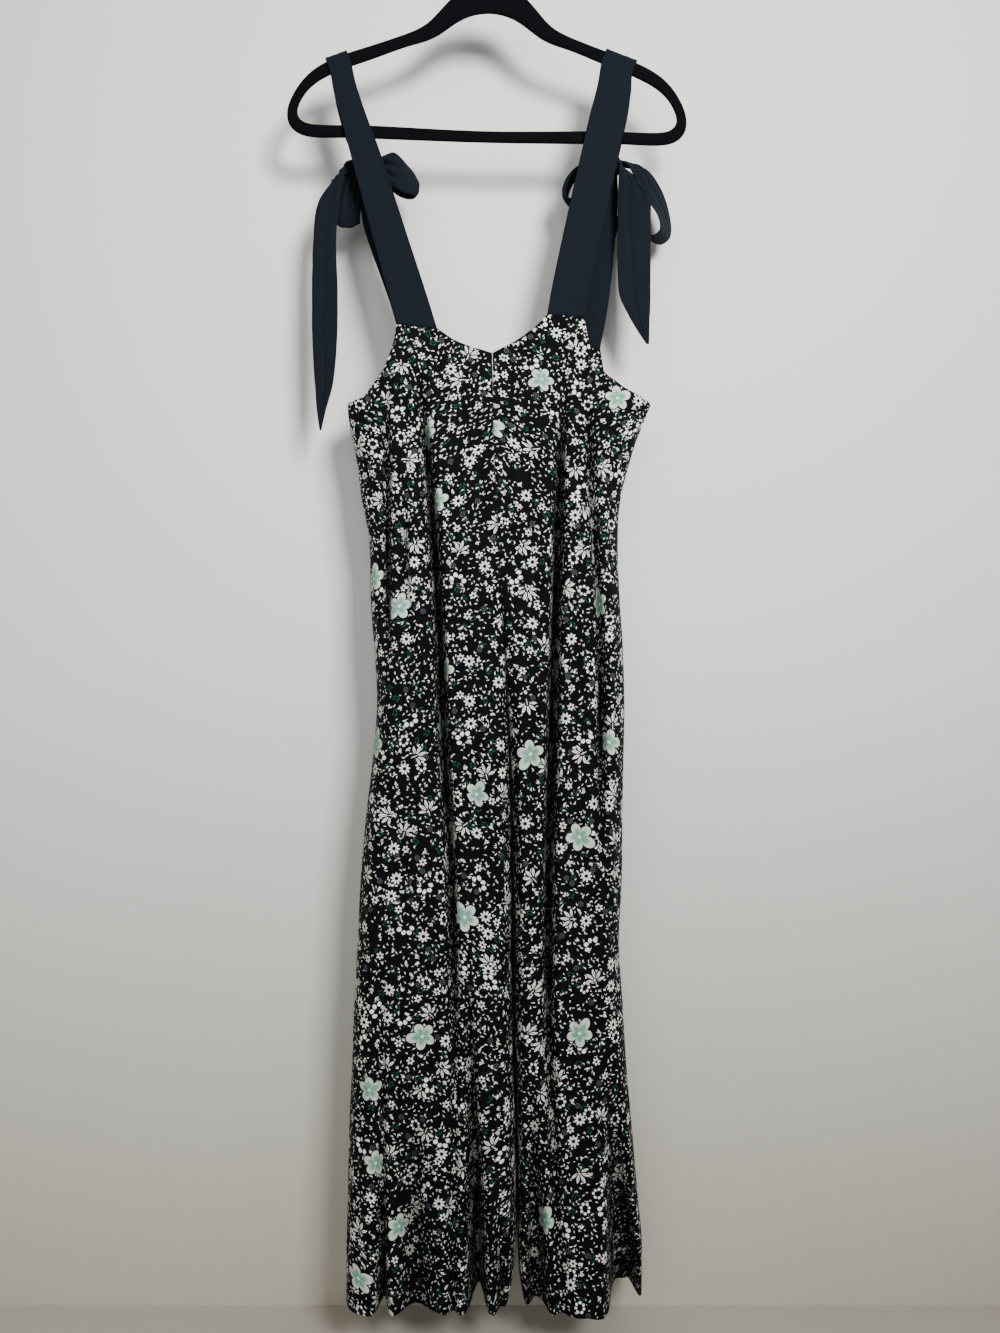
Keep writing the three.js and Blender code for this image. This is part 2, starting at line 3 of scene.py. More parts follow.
import bmesh
import bpy
import numpy as np
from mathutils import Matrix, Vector


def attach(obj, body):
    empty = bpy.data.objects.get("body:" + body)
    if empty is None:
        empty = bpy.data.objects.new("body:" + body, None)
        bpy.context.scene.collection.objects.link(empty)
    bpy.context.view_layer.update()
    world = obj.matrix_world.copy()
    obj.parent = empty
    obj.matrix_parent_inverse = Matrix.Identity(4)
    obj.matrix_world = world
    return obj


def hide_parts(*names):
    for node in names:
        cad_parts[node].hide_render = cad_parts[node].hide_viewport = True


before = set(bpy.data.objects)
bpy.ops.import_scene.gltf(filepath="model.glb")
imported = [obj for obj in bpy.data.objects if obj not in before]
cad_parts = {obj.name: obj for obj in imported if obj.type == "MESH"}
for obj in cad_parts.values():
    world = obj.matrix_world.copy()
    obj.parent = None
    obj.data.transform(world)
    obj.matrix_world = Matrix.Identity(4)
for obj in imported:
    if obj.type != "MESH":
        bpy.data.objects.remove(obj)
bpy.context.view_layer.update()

# Lengths are in millimetres until a mesh is made.
MM = 0.001

# The cloth's own sizes
CLOTH = 0.9
STRAP_CLOTH = 1.5
STRAP_WIDTH = 42
SEAM_GAP = 0.3
KNOT_GAP = 0.8
HEM = -1496
CROTCH = -976
UNDERARM = -526
BAND = -566
HEM_TURN = 22
EDGE_TURN = 7

# The hanger's bar, and the straps' solids
BAR_HEIGHT = 13
BAR_DEPTH = 5.5
BAR_BEVEL = 1.5
STRAP_WALL = 1.8

# How the section turns at its ends, and how finely a panel is divided
ROUND_STEPS = 4
MIDDLE_STEPS = {"front": 20, "back": 12}
COLUMNS_EACH_STEP = 4
BAND_ROWS = {"front": 30, "back": 24}
LEVEL_ROWS = {"front": 230, "back": 180}


def table(names, rows):
    """Rows of numbers as one array for each named column."""
    return dict(zip(names.split(), np.array(rows, float).T))


# Levels of the garment: the seams' x, part for how far each leg's inner seam stands from the centre, seam
# for the left side seam's depth, round for how wide a side's turn is, and the depths of the two faces
SECTIONS = table("z right centre left part seam round front back", [
    [-430, -154, 5, 178, 0.2, 0, 58, 14, 18],
    [UNDERARM, -154, 5, 178, 0.2, 0, 55, 27, 23],
    [-543, -153, 5, 170, 0.2, 0, 50, 29, 24],
    [-586, -144, 7, 156, 0.2, 0, 42, 33, 27],
    [-630, -138, 9, 145, 0.3, 0, 36, 36, 30],
    [-674, -130, 12, 142, 0.5, 0, 31, 38, 32],
    [-740, -128, 15, 144, 0.8, 0, 28, 41, 35],
    [-784, -125, 18, 147, 1, 0, 26, 42, 37],
    [-850, -121, 21, 149, 1, 0, 26, 44, 39],
    [-916, -126, 24, 148, 1, 0, 26, 46, 42],
    [CROTCH, -133, 26, 147, 1, 0, 26, 47, 44],
    [-1048, -139, 27, 146, 1, 0, 26, 48, 45],
    [-1114, -142, 27, 143, 1, 0, 26, 48, 46],
    [-1180, -146, 28, 147, 1, 0, 26, 48, 47],
    [-1245, -148, 29, 151, 1, 2, 26, 48, 48],
    [-1311, -151, 31, 157, 1, 5, 26, 48, 49],
    [-1399, -153, 32, 165, 1.2, 10, 26, 49, 50],
    [-1440, -154, 32, 169, 1.6, 15, 23, 51, 50],
    [-1472, -154, 31, 169, 3.5, 18, 21, 53, 50],
    [HEM, -154, 30.5, 169, 8, 20, 20, 54, 50],
])
CENTRE_ROUND = 15

# Towards the legs the middle sinks in: where that begins, and how slowly it starts
SINK = {"front": (-700, 1.5), "back": (-620, 1.8)}

# The panels' top edges, by the share of a panel's width from its side seam
TOPS = {
    ("front", "right"): table("share x z", [
        [0, -154, UNDERARM], [0.1, -134, -522], [0.15, -128, -514], [0.2, -112, -491],
        [0.24, -104, -469], [0.286, -98.7, -442], [0.571, -55.2, -446.3],
        [0.66, -39, -458], [0.8, -18, -467], [1, 4.8, -474],
    ]),
    ("front", "left"): table("share x z", [
        [0, 178, UNDERARM], [0.07, 165, -520], [0.14, 147, -512], [0.2, 128, -498],
        [0.24, 112, -476], [0.286, 104.3, -434], [0.571, 64.3, -431],
        [0.66, 49, -447], [0.8, 31, -460], [1, 5.2, -474],
    ]),
    ("back", "right"): table("share x z", [
        [0, -154, UNDERARM], [0.12, -132, -516], [0.22, -106, -486], [0.3, -95, -458],
        [0.6, -54, -458], [0.75, -34, -472], [1, 4.8, -482],
    ]),
    ("back", "left"): table("share x z", [
        [0, 178, UNDERARM], [0.12, 152, -514], [0.22, 131, -494], [0.3, 125, -459],
        [0.6, 84, -456], [0.75, 52, -470], [1, 5.2, -482],
    ]),
}
STRAP_SHARES = {"front": (0.286, 0.571), "back": (0.3, 0.6)}

# Real folds are narrower than the solids can show, and deeper above the flare of the hems
FOLD_NARROWING = 0.52
FOLD_DEEPENING = 0.9
DEEPER_ABOVE = (-1280, -1080)
DEEPER_BELOW = (-600, -480)
SEAM_MARGIN = 14

# Painted shade: the cloth's colour darkens between these depths of a fold, and within this distance of the
# middle seam
PAINTED_SHADE_DEPTHS = (4, 20)
PAINTED_SEAM_SHADE_WIDTH = 1.6

# The large folds of each panel, from top to bottom. A square above 2 gives a flatter floor and steeper
# walls, and a row without one has 2.
FOLD = "z x depth width square"
ROUND_FOLD = 2
FOLDS = {
    ("front", "right"): [
        [[-500, -110, 0, 9], [-550, -110, 8, 9], [-620, -109, 10, 9], [-740, -108, 11, 9],
         [-830, -106, 0, 9]],
        [[-610, -90, 0, 7], [-690, -88, 6, 7], [-760, -86, 0, 7]],
        [[-490, -76, 2, 9], [-602, -64, 15, 9], [-742, -54, 20, 10], [-903, -47, 20, 10],
         [-1042, -39, 14, 10], [-1230, -35, 10, 10], [-1440, -36, 11, 10], [HEM, -36, 12, 10]],
        [[-1140, -22, 0, 10], [-1214, -19, 12, 11], [-1350, -14, 30, 14], [HEM, -10, 69, 17]],
        [[-1120, -112, 0, 8], [-1250, -112, 7, 8], [-1400, -112, 18, 9], [HEM, -112, 38, 11]],
        [[-1240, -80, 0, 14], [-1330, -80, 14, 24], [HEM, -76, 26, 36]],
        [[-1360, 12, 0, 10], [HEM, 15, 24, 12]],
    ],
    ("front", "left"): [
        [[-480, 84, 2, 9], [-591, 78, 14, 9], [-742, 73, 20, 10], [-849, 70, 22, 10],
         [-956, 67, 22, 10], [-1063, 65, 20, 10], [-1200, 65, 16, 10], [-1385, 73, 12, 11],
         [HEM, 78, 8, 12]],
        [[-505, 106, 0, 9], [-560, 109, 8, 9], [-634, 112, 10, 9], [-785, 120, 11, 9], [-945, 121, 8, 9],
         [-1060, 122, 0, 9]],
        [[-1190, 128, 0, 14], [-1300, 134, 14, 18, 2.4], [-1400, 142, 38, 26, 3], [HEM, 150, 75, 36, 4]],
        [[-1150, 42, 0, 9], [-1280, 46, 8, 14], [HEM, 52, 40, 24, 3]],
    ],
    ("back", "right"): [
        [[-500, -92, 2, 12], [-640, -94, 11, 12], [-900, -98, 14, 13], [-1200, -104, 12, 13],
         [HEM, -94, 20, 14]],
        [[-560, -38, 0, 12], [-720, -42, 9, 12], [-980, -52, 16, 13], [-1300, -50, 12, 14],
         [HEM, -48, 10, 14]],
    ],
    ("back", "left"): [
        [[-500, 116, 2, 12], [-660, 108, 12, 12], [-900, 104, 15, 13], [-1240, 98, 12, 14],
         [HEM, 96, 14, 15]],
        [[-600, 50, 0, 12], [-800, 58, 10, 12], [-1020, 66, 14, 13], [-1360, 62, 10, 14],
         [HEM, 60, 16, 14]],
    ],
}

# Smaller creases and soft ridges. A negative depth stands out.
CREASES = {
    ("front", "right"): [
        [[-500, -30, 0, 7], [-560, -32, 2.6, 8], [-700, -28, 2.2, 9], [-860, -22, 0, 9]],
        [[-470, -88, 0, 5], [-520, -88, 2.4, 6], [-585, -86, 0, 6]],
        [[-530, -132, 0, 5], [-600, -128, 1.8, 6], [-720, -118, 2, 6], [-860, -114, 0, 6]],
        [[-720, -82, 0, 6], [-800, -84, 3.2, 7], [-960, -88, 2.6, 8], [-1120, -92, 0, 8]],
        [[-820, -16, 0, 7], [-930, -12, 2.6, 8], [-1060, -10, 2.2, 8], [-1170, -8, 0, 8]],
        [[-900, -104, 0, 6], [-1000, -108, 3, 7], [-1130, -112, 2.2, 7], [-1200, -112, 0, 7]],
        [[-980, -64, 0, 7], [-1100, -62, 3.4, 8], [-1260, -60, 3, 9], [-1420, -58, 0, 9]],
        [[-1180, -132, 0, 6], [-1290, -134, 2.6, 7], [-1420, -136, 3.4, 7], [HEM, -138, 4, 8]],
        [[-1240, -92, 0, 7], [-1340, -94, 3.2, 8], [HEM, -96, -6, 9]],
        [[-560, -6, 0, 6], [-620, -8, 1.6, 7], [-720, -8, 0, 7]],
        [[-1290, 4, 0, 7], [-1400, 2, -4, 8], [HEM, 2, -7, 9]],
    ],
    ("front", "left"): [
        [[-500, 40, 0, 7], [-570, 42, 2.6, 8], [-700, 44, 2, 9], [-840, 46, 0, 9]],
        [[-480, 98, 0, 5], [-540, 98, 2.6, 6], [-640, 96, 2, 6], [-700, 95, 0, 6]],
        [[-540, 150, 0, 6], [-600, 142, 2.2, 7], [-700, 134, 2, 7], [-800, 134, 0, 7]],
        [[-700, 98, 0, 7], [-820, 96, 3, 8], [-980, 94, 2.6, 8], [-1100, 94, 0, 8]],
        [[-800, 48, 0, 6], [-900, 46, 2.4, 7], [-1040, 45, 2.6, 7], [-1140, 44, 0, 7]],
        [[-980, 110, 0, 7], [-1100, 110, 3.4, 8], [-1240, 106, 2.6, 9], [-1380, 104, 0, 9]],
        [[-1080, 88, 0, 6], [-1180, 88, 2.8, 7], [-1320, 92, 3, 8], [HEM, 98, -5, 10]],
        [[-1000, 134, 0, 5], [-1110, 132, 2.2, 6], [-1220, 134, 0, 6]],
        [[-1260, 116, 0, 7], [-1380, 118, -3, 8], [HEM, 118, -6, 9]],
        [[-1300, 60, 0, 6], [-1400, 62, 3, 7], [HEM, 62, -4, 8]],
        [[-560, 20, 0, 6], [-640, 22, 1.6, 7], [-740, 26, 0, 7]],
    ],
    ("back", "right"): [
        [[-520, -66, 0, 7], [-640, -68, 3, 9], [-800, -72, 2.4, 9], [-960, -76, 0, 9]],
        [[-700, -120, 0, 6], [-860, -118, 2.6, 8], [-1040, -122, 2.4, 8], [-1220, -126, 0, 8]],
        [[-620, -20, 0, 7], [-760, -20, 2.4, 8], [-920, -18, 2, 8], [-1040, -16, 0, 8]],
        [[-1020, -76, 0, 8], [-1160, -78, 3.2, 10], [-1340, -72, 3, 10], [HEM, -70, -4, 10]],
        [[-1120, -24, 0, 7], [-1260, -22, 2.8, 8], [HEM, -20, 6, 10]],
        [[-1260, -128, 0, 7], [-1380, -126, 3, 8], [HEM, -124, -4, 8]],
    ],
    ("back", "left"): [
        [[-520, 88, 0, 7], [-640, 84, 3, 9], [-820, 82, 2.4, 9], [-980, 84, 0, 9]],
        [[-700, 132, 0, 6], [-840, 130, 2.6, 8], [-1020, 128, 2.4, 8], [-1180, 126, 0, 8]],
        [[-640, 32, 0, 7], [-780, 34, 2.4, 8], [-940, 38, 2, 8], [-1060, 40, 0, 8]],
        [[-1060, 88, 0, 8], [-1200, 84, 3.2, 9], [-1360, 82, 3, 9], [HEM, 80, -4, 10]],
        [[-1160, 124, 0, 7], [-1300, 130, 2.8, 8], [HEM, 134, 6, 10]],
        [[-1240, 40, 0, 6], [-1380, 40, 2.6, 8], [HEM, 40, -4, 8]],
    ],
}

# The knots' centres, and half a knot's sizes
KNOTS = {"right": np.array([-141, 16, -256]), "left": np.array([138, 16, -256])}
KNOT_HALF = np.array([11, 8, 11])

# Where a strap crosses the bar: x, z, the bar's slope in degrees and the strap's width
CROSSINGS = {"right": (-166, -143.6, 20, 25), "left": (146, -144, -21, 36)}

# Rows of a ribbon: centre, width, and in degrees its slope in the front view and its turn to the back,
# which is 0 where a row leaves it out
STRAPS = {
    "right": {
        "front_up": [
            [-90, -13.5, -400, 40, 8], [-111, -11.5, -330, 36, 14], [-133, -9, -256, 32, 16],
            [-145, -7.5, -218, 28, 17], [-156, -6, -182, 26, 18],
        ],
        "front_down": [[-156, 7, -188, 25, 18], [-149, 11, -222, 21, 14], [-143, 15, -244, 14, 6]],
        "back": [
            [-139, 17, -268, 13, 8], [-134, 18, -288, 20, 14], [-124, 19, -322, 29, 16],
            [-93, 20, -404, 34, 10],
        ],
    },
    "left": {
        "front_up": [
            [90.5, -13.5, -400, 41, -6], [105.5, -11.5, -330, 41, -11],
            [121.5, -9, -256, 40, -12], [130, -7.5, -218, 40, -13], [138, -6, -182, 38, -16],
        ],
        "front_down": [[141, 7, -188, 32, -16], [139, 11, -222, 23, -10], [138, 15, -244, 14, -4]],
        "back": [
            [137, 17, -268, 13, -6], [136, 18, -288, 17, -8], [132, 19, -332, 20, -9],
            [118, 20, -404, 33, -6],
        ],
    },
}
BOWS = {
    "right": {
        "bow_loop_inner": [
            [-127.5, 13.5, -257, 13, 84], [-113, 10, -261, 30, 88], [-97, 8, -267, 42, 98],
            [-84, 11, -272, 43, 106], [-78, 17, -274, 38, 108], [-84, 23, -272, 43, 106],
            [-97, 26, -267, 42, 98], [-113, 24, -261, 28, 88], [-127.5, 18.5, -257, 13, 84],
        ],
        "bow_loop_outer": [
            [-150.5, 13, -265, 11, -36], [-156, 13, -288, 28, -22], [-160, 15, -311, 32, -14],
            [-161, 20, -323, 33, -10], [-160, 26, -311, 31, -14], [-155, 26, -288, 26, -22],
            [-150.5, 20, -265, 10, -36],
        ],
        "tie_tail": [
            [-152, 9, -257, 12, 82], [-164, 5, -269, 23, 56], [-175, 5, -298, 26, 18],
            [-180, 5, -340, 25, 4], [-180, 5, -400, 28, 0], [-180, 5, -450, 27, 0],
            [-181, 5, -500, 20, 0], [-184, 5, -530, 10, 0], [-185, 5, -552, 2, 0],
        ],
        "tie_tail_hidden": [
            [-139, 24, -268, 13, 10], [-133, 32, -284, 22, 14], [-124, 32, -318, 25, 14],
            [-117, 32, -350, 14, 14], [-115, 32, -364, 3, 14],
        ],
    },
    "left": {
        "bow_loop_inner": [
            [126, 17, -252, 8, 0, 80], [108, 20, -256, 20, 0, 75], [93, 21, -268, 22, 0, 75],
            [86, 21, -283, 22, 0, 75], [88, 21, -293, 22, 0, 75], [98, 21, -295, 22, 0, 75],
            [112, 20, -278, 18, 0, 75], [126, 17, -261, 8, 0, 80],
        ],
        "bow_loop_outer": [
            [150, 17.5, -252, 8, 10, 84], [166, 24, -255.5, 26, 40, 46], [182, 28, -277, 34, 34, 36],
            [198, 28, -309, 32, 8, 54], [200, 28, -329, 30, 0, 62], [189, 28, -336, 30, 0, 66],
            [170, 27, -318, 26, 0, 72], [165, 24, -272, 19, 0, 76], [150, 17.5, -259.5, 8, 0, 84],
        ],
        "tie_tail": [
            [146, 8, -258, 11, -80], [159, 2, -281, 34, -30], [161, 5, -320, 36, -4],
            [161, 6, -362, 36, 0], [162, 6, -402, 34, 0], [166, 6, -422, 25, 0],
            [171, 5, -441, 14, 0], [176, 5, -457, 3, 0],
        ],
        "tie_tail_hidden": [
            [137, 26, -268, 13, -8], [134, 36, -284, 22, -10], [128, 38, -318, 25, -10],
            [122, 38, -352, 14, -10], [120, 38, -366, 3, -10],
        ],
    },
}


def curve(rows, key, column, place):
    """One column at a place between the rows, on a smooth curve through them."""
    keys, values, place = rows[key], rows[column], np.asarray(place, float)
    if keys[0] > keys[-1]:
        keys, place = -keys, -place
    i = np.clip(np.searchsorted(keys, place, side="right") - 1, 0, len(keys) - 2)
    slopes = np.empty(len(keys))
    slopes[1:-1] = (values[2:] - values[:-2]) / (keys[2:] - keys[:-2])
    slopes[0] = (values[1] - values[0]) / (keys[1] - keys[0])
    slopes[-1] = (values[-1] - values[-2]) / (keys[-1] - keys[-2])
    span = keys[i + 1] - keys[i]
    t = np.clip((place - keys[i]) / span, 0, 1)
    t2, t3 = t * t, t ** 3
    return ((2 * t3 - 3 * t2 + 1) * values[i] + (t3 - 2 * t2 + t) * span * slopes[i]
            + (3 * t2 - 2 * t3) * values[i + 1] + (t3 - t2) * span * slopes[i + 1])


def quarter(share):
    """Height of a quarter circle that rises from 0 at share 0 to 1 at share 1."""
    left = 1 - np.clip(share, 0, 1)
    return np.sqrt(1 - left * left)


def smooth(value, low, high):
    """0 below low and 1 above high, with a smooth rise between them."""
    t = np.clip((value - low) / (high - low), 0, 1)
    return t * t * (3 - 2 * t)


def inner_x(side, z):
    """Where a panel's middle seam lies. High up the seams are sewn shut."""
    sign = 1 if side == "left" else -1
    apart = np.maximum(curve(SECTIONS, "z", "part", z) - SEAM_GAP, 0)
    return curve(SECTIONS, "z", "centre", z) + sign * apart


def fold_depth(folds, x, z, narrow=1.0):
    """How far a list of folds pushes the cloth in."""
    depth = np.zeros(np.shape(x))
    for rows in folds:
        fold = table(FOLD, [[*row, ROUND_FOLD][:5] for row in rows])
        reach = np.abs(x - curve(fold, "z", "x", z)) / (curve(fold, "z", "width", z) * narrow)
        inside = (z <= fold["z"][0]) & (z >= fold["z"][-1])
        push = curve(fold, "z", "depth", z)
        push = np.maximum(push, 0) if fold["depth"].min() >= 0 else push
        depth += np.where(inside, push * np.exp(-reach ** curve(fold, "z", "square", z)), 0)
    return depth


# Gentle unevenness of hanging cloth: height, waves per metre across and down, and phase
RIPPLE_BEND = 1.3
BENDS_DOWN = 7.3
RIPPLES = [
    (0.55, 21, 2.6, 0.4), (0.4, 34, 4.1, 2.1), (0.3, 13, 9.5, 4.4), (0.25, 52, 6.2, 1.2),
    (0.2, 27, 17, 5.2), (0.16, 71, 11, 3.3),
]


def ripple(x, z):
    """How far the cloth's gentle unevenness moves it at points of the front view."""
    total = np.zeros(np.shape(x))
    for height, across, down, phase in RIPPLES:
        bend = RIPPLE_BEND * np.sin(z * MM * BENDS_DOWN + phase)
        total += height * np.sin(2 * math.pi * MM * (x * across + z * down) + phase + bend)
    return total


def pushed_in(side, face, x, z):
    """How far folds, creases and gentle unevenness push a panel's cloth in."""
    deeper = 1 + FOLD_DEEPENING * smooth(z, *DEEPER_ABOVE) * (1 - smooth(z, *DEEPER_BELOW))
    folds = fold_depth(FOLDS[face, side], x, z, FOLD_NARROWING) * deeper
    return folds + fold_depth(CREASES[face, side], x, z) + ripple(x, z)


def painted_shade(side, face, x, z):
    """How much shade is painted into the cloth's colour: 1 deep in a fold and along the middle seam, and 0
    on open cloth.
    """
    seam = np.exp(-((x - inner_x(side, z)) / PAINTED_SEAM_SHADE_WIDTH) ** 2)
    return np.maximum(smooth(pushed_in(side, face, x, z), *PAINTED_SHADE_DEPTHS), seam)


def cloth_y(side, face, x, z):
    """The depth of a panel's cloth at points of the front view."""
    sign = 1 if face == "back" else -1
    from_side = np.abs(x - curve(SECTIONS, "z", side, z))
    from_centre = np.abs(x - inner_x(side, z))
    depth = curve(SECTIONS, "z", face, z)
    seam = curve(SECTIONS, "z", "seam", z) if side == "left" else 0
    side_turn = quarter(from_side / curve(SECTIONS, "z", "round", z))
    centre_turn = quarter(from_centre / CENTRE_ROUND)
    flat = smooth(np.minimum(from_side, from_centre), 0, SEAM_MARGIN)
    sink_top, power = SINK[face]
    sunk = np.clip((sink_top - z) / (sink_top - CROTCH), 0, 1) ** power
    out = depth * (side_turn - sunk * (1 - centre_turn)) - flat * pushed_in(side, face, x, z)
    return seam * (1 - side_turn) + sign * (out + SEAM_GAP / 2)


def column_places(side, face, z):
    """Places across a level, close together where the cloth turns at both ends."""
    start, end = float(curve(SECTIONS, "z", side, z)), float(inner_x(side, z))
    inward = math.copysign(1, end - start)
    turn = float(curve(SECTIONS, "z", "round", z))
    middle = MIDDLE_STEPS[face]
    count = (2 * ROUND_STEPS + middle) * COLUMNS_EACH_STEP
    step = np.linspace(0, 2 * ROUND_STEPS + middle, count + 1)
    from_start = 1 - np.cos(np.clip(step / ROUND_STEPS, 0, 1) * math.pi / 2)
    from_end = 1 - np.cos(np.clip((step[-1] - step) / ROUND_STEPS, 0, 1) * math.pi / 2)
    share = np.clip((step - ROUND_STEPS) / middle, 0, 1)
    low, high = start + inward * turn, end - inward * CENTRE_ROUND
    flat = low + (high - low) * share
    places = np.where(step < ROUND_STEPS, start + inward * turn * from_start, flat)
    return np.where(step > ROUND_STEPS + middle, end - inward * CENTRE_ROUND * from_end, places)


def top_line(side, face, shares):
    """Points of a panel's top edge."""
    rows = TOPS[face, side]
    return np.interp(shares, rows["share"], rows["x"]), np.interp(shares, rows["share"], rows["z"])


def panel_points(side, face):
    """Points of one panel in rows from the top edge to the hem, and how far they are from each."""
    band = column_places(side, face, BAND)
    top_x, top_z = top_line(side, face, np.linspace(0, 1, len(band)))
    xs, zs = [], []
    for down in np.linspace(0, 1, BAND_ROWS[face], endpoint=False):
        xs.append(top_x + (band - top_x) * down)
        zs.append(top_z + (BAND - top_z) * down)
    for z in np.linspace(BAND, HEM, LEVEL_ROWS[face]):
        xs.append(column_places(side, face, z))
        zs.append(np.full(len(band), z))
    x, z = np.array(xs), np.array(zs)
    points = np.stack([x, cloth_y(side, face, x, z), z], axis=-1)
    return points, np.hypot(x - x[0], z - z[0]), z - HEM


def cloth_uv(points, middle):
    """Places on the flat cloth: the way round it from one upright line, and the height."""
    steps = np.hypot(*np.moveaxis(np.diff(points[..., :2], axis=1), -1, 0))
    along = np.concatenate([np.zeros((len(points), 1)), np.cumsum(steps, axis=1)], axis=1)
    sign = 1 if points[-1, -1, 0] > points[-1, 0, 0] else -1
    start = np.array([np.interp(middle * sign, sign * row[:, 0], way) for row, way in zip(points, along)])
    return np.stack([middle + sign * (along - start[:, None]), points[..., 2]], axis=-1)


def new_object(name, data):
    made = bpy.data.objects.new(name, data)
    bpy.context.scene.collection.objects.link(made)
    return made


def mark_points(mesh, mark, values):
    """Keep a number for each point of a mesh, which its material reads."""
    kept = mesh.attributes.new(mark, "FLOAT", "POINT")
    kept.data.foreach_set("value", values.astype(np.float32).ravel())


def add_piece(name, mesh, material, node_name):
    """A smooth piece of one material, in place of the solid that it dresses."""
    mesh.polygons.foreach_set("use_smooth", np.ones(len(mesh.polygons), bool))
    mesh.materials.clear()
    mesh.materials.append(material)
    piece = new_object(name, mesh)
    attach(piece, "root")
    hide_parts(node_name)
    return piece


def grid_object(name, points, uv, marks, thickness, material, node_name):
    """A sheet of cloth through a grid of points, with its flat places and the numbers marked on it."""
    rows, columns = points.shape[:2]
    mesh = bpy.data.meshes.new(name)
    index = np.arange(rows * columns).reshape(rows, columns)
    quads = np.stack([index[:-1, :-1], index[1:, :-1], index[1:, 1:], index[:-1, 1:]], axis=-1)
    mesh.from_pydata((points.reshape(-1, 3) * MM).tolist(), [], quads.reshape(-1, 4).tolist())
    mesh.update()
    corner = np.empty(len(mesh.loops), np.int32)
    mesh.loops.foreach_get("vertex_index", corner)
    layer = mesh.uv_layers.new(name="cloth")
    layer.data.foreach_set("uv", (uv.reshape(-1, 2) * MM)[corner].astype(np.float32).ravel())
    for mark, values in marks.items():
        mark_points(mesh, mark, values)
    piece = add_piece(name, mesh, material, node_name)
    shell = piece.modifiers.new("thickness", "SOLIDIFY")
    shell.thickness = thickness * MM
    shell.offset = 0
    shell.use_even_offset = False
    return piece


# Shader building
class Field:
    """A number that changes over a surface. Each sum adds one math node."""

    def __init__(self, tree, socket):
        self.tree, self.socket = tree, socket

    def math(self, operation, *others, clamp=False):
        made = node(self.tree, "ShaderNodeMath", operation=operation, use_clamp=clamp)
        for slot, value in zip(made.inputs, (self, *others)):
            if isinstance(value, Field):
                value.into(slot)
            else:
                slot.default_value = value
        return Field(self.tree, made.outputs[0])

    def into(self, slot):
        self.tree.links.new(self.socket, slot)

    def __add__(self, other):
        return self.math("ADD", other)

    def __sub__(self, other):
        return self.math("SUBTRACT", other)

    def __mul__(self, other):
        return self.math("MULTIPLY", other)

    def __truediv__(self, other):
        return self.math("DIVIDE", other)

    def __pow__(self, other):
        return self.math("POWER", other)

    def __abs__(self):
        return self.math("ABSOLUTE")

    def above(self, other):
        """1 where this is more than other, and 0 elsewhere."""
        return self.math("GREATER_THAN", other)

    def below(self, other, blur):
        """1 where this is less than other, with a soft edge as wide as blur."""
        return ((self - other) * (-1 / blur)).math("ADD", 0.5, clamp=True)

    def either(self, other):
        return self.math("MAXIMUM", other)


def node(tree, kind, **settings):
    made = tree.nodes.new(kind)
    for name, value in settings.items():
        setattr(made, name, value)
    return made


def set_inputs(made, values):
    for name, value in values.items():
        made.inputs[name].default_value = value


def feed(tree, colour, slot):
    """Give a slot a fixed colour or one that changes over the surface."""
    if isinstance(colour, tuple):
        slot.default_value = (*colour, 1)
    else:
        tree.links.new(colour, slot)


def split(tree, vector):
    """The x, y and z of a vector."""
    parts = node(tree, "ShaderNodeSeparateXYZ")
    tree.links.new(vector, parts.inputs[0])
    return [Field(tree, output) for output in parts.outputs]


def marked(tree, mark):
    """A number that the mesh keeps for each of its points."""
    return Field(tree, node(tree, "ShaderNodeAttribute", attribute_name=mark).outputs["Fac"])


def noise(tree, places, scale, detail=2, dimensions="3D"):
    """Soft clouds between 0 and 1."""
    clouds = node(tree, "ShaderNodeTexNoise", noise_dimensions=dimensions)
    set_inputs(clouds, {"Scale": scale, "Detail": detail})
    tree.links.new(places, clouds.inputs["Vector"])
    return Field(tree, clouds.outputs[0])


def blended(tree, shader, share, low, high):
    """A surface colour between low and high."""
    blend = node(tree, "ShaderNodeValToRGB")
    for element, colour in zip(blend.color_ramp.elements, (low, high)):
        element.color = (*colour, 1)
    share.into(blend.inputs[0])
    tree.links.new(blend.outputs[0], shader.inputs["Base Color"])


def relief(tree, shader, height, strength, distance):
    """Bumps too fine for the mesh."""
    bump = node(tree, "ShaderNodeBump")
    set_inputs(bump, {"Strength": strength, "Distance": distance * MM})
    height.into(bump.inputs["Height"])
    tree.links.new(bump.outputs[0], shader.inputs["Normal"])


def new_material(name, build, *looks):
    """A material with the nodes that build makes."""
    material = bpy.data.materials.new(name)
    material.use_nodes = True
    tree = material.node_tree
    build(tree, tree.nodes["Principled BSDF"], *looks)
    return material


def flat_places(tree):
    """Millimetres on the flat cloth."""
    source = node(tree, "ShaderNodeUVMap", uv_map="cloth")
    scaled = node(tree, "ShaderNodeVectorMath", operation="SCALE")
    scaled.inputs["Scale"].default_value = 1 / MM
    tree.links.new(source.outputs[0], scaled.inputs[0])
    return scaled.outputs[0]


def object_places(tree):
    """Metres in the piece's own frame."""
    return node(tree, "ShaderNodeTexCoord").outputs["Object"]


# Motif shapes
def polar(x, y):
    return (x * x + y * y) ** 0.5, y.math("ARCTAN2", x)


def squared(value):
    """The square, also of a number below 0."""
    return value * value


def leaf(x, y, long, wide):
    """Less than 1 inside a leaf with two pointed ends."""
    return abs(x) / long + squared(y / wide) * 0.9


def spread(reach, angle, count, centre):
    """The local x and y of shapes that stand round one place, each with its middle at centre."""
    turn = angle * (count / (2 * math.pi))
    offset = (turn.math("FRACT") - 0.5) * (2 * math.pi / count)
    return reach * offset.math("COSINE") - centre, reach * offset.math("SINE")


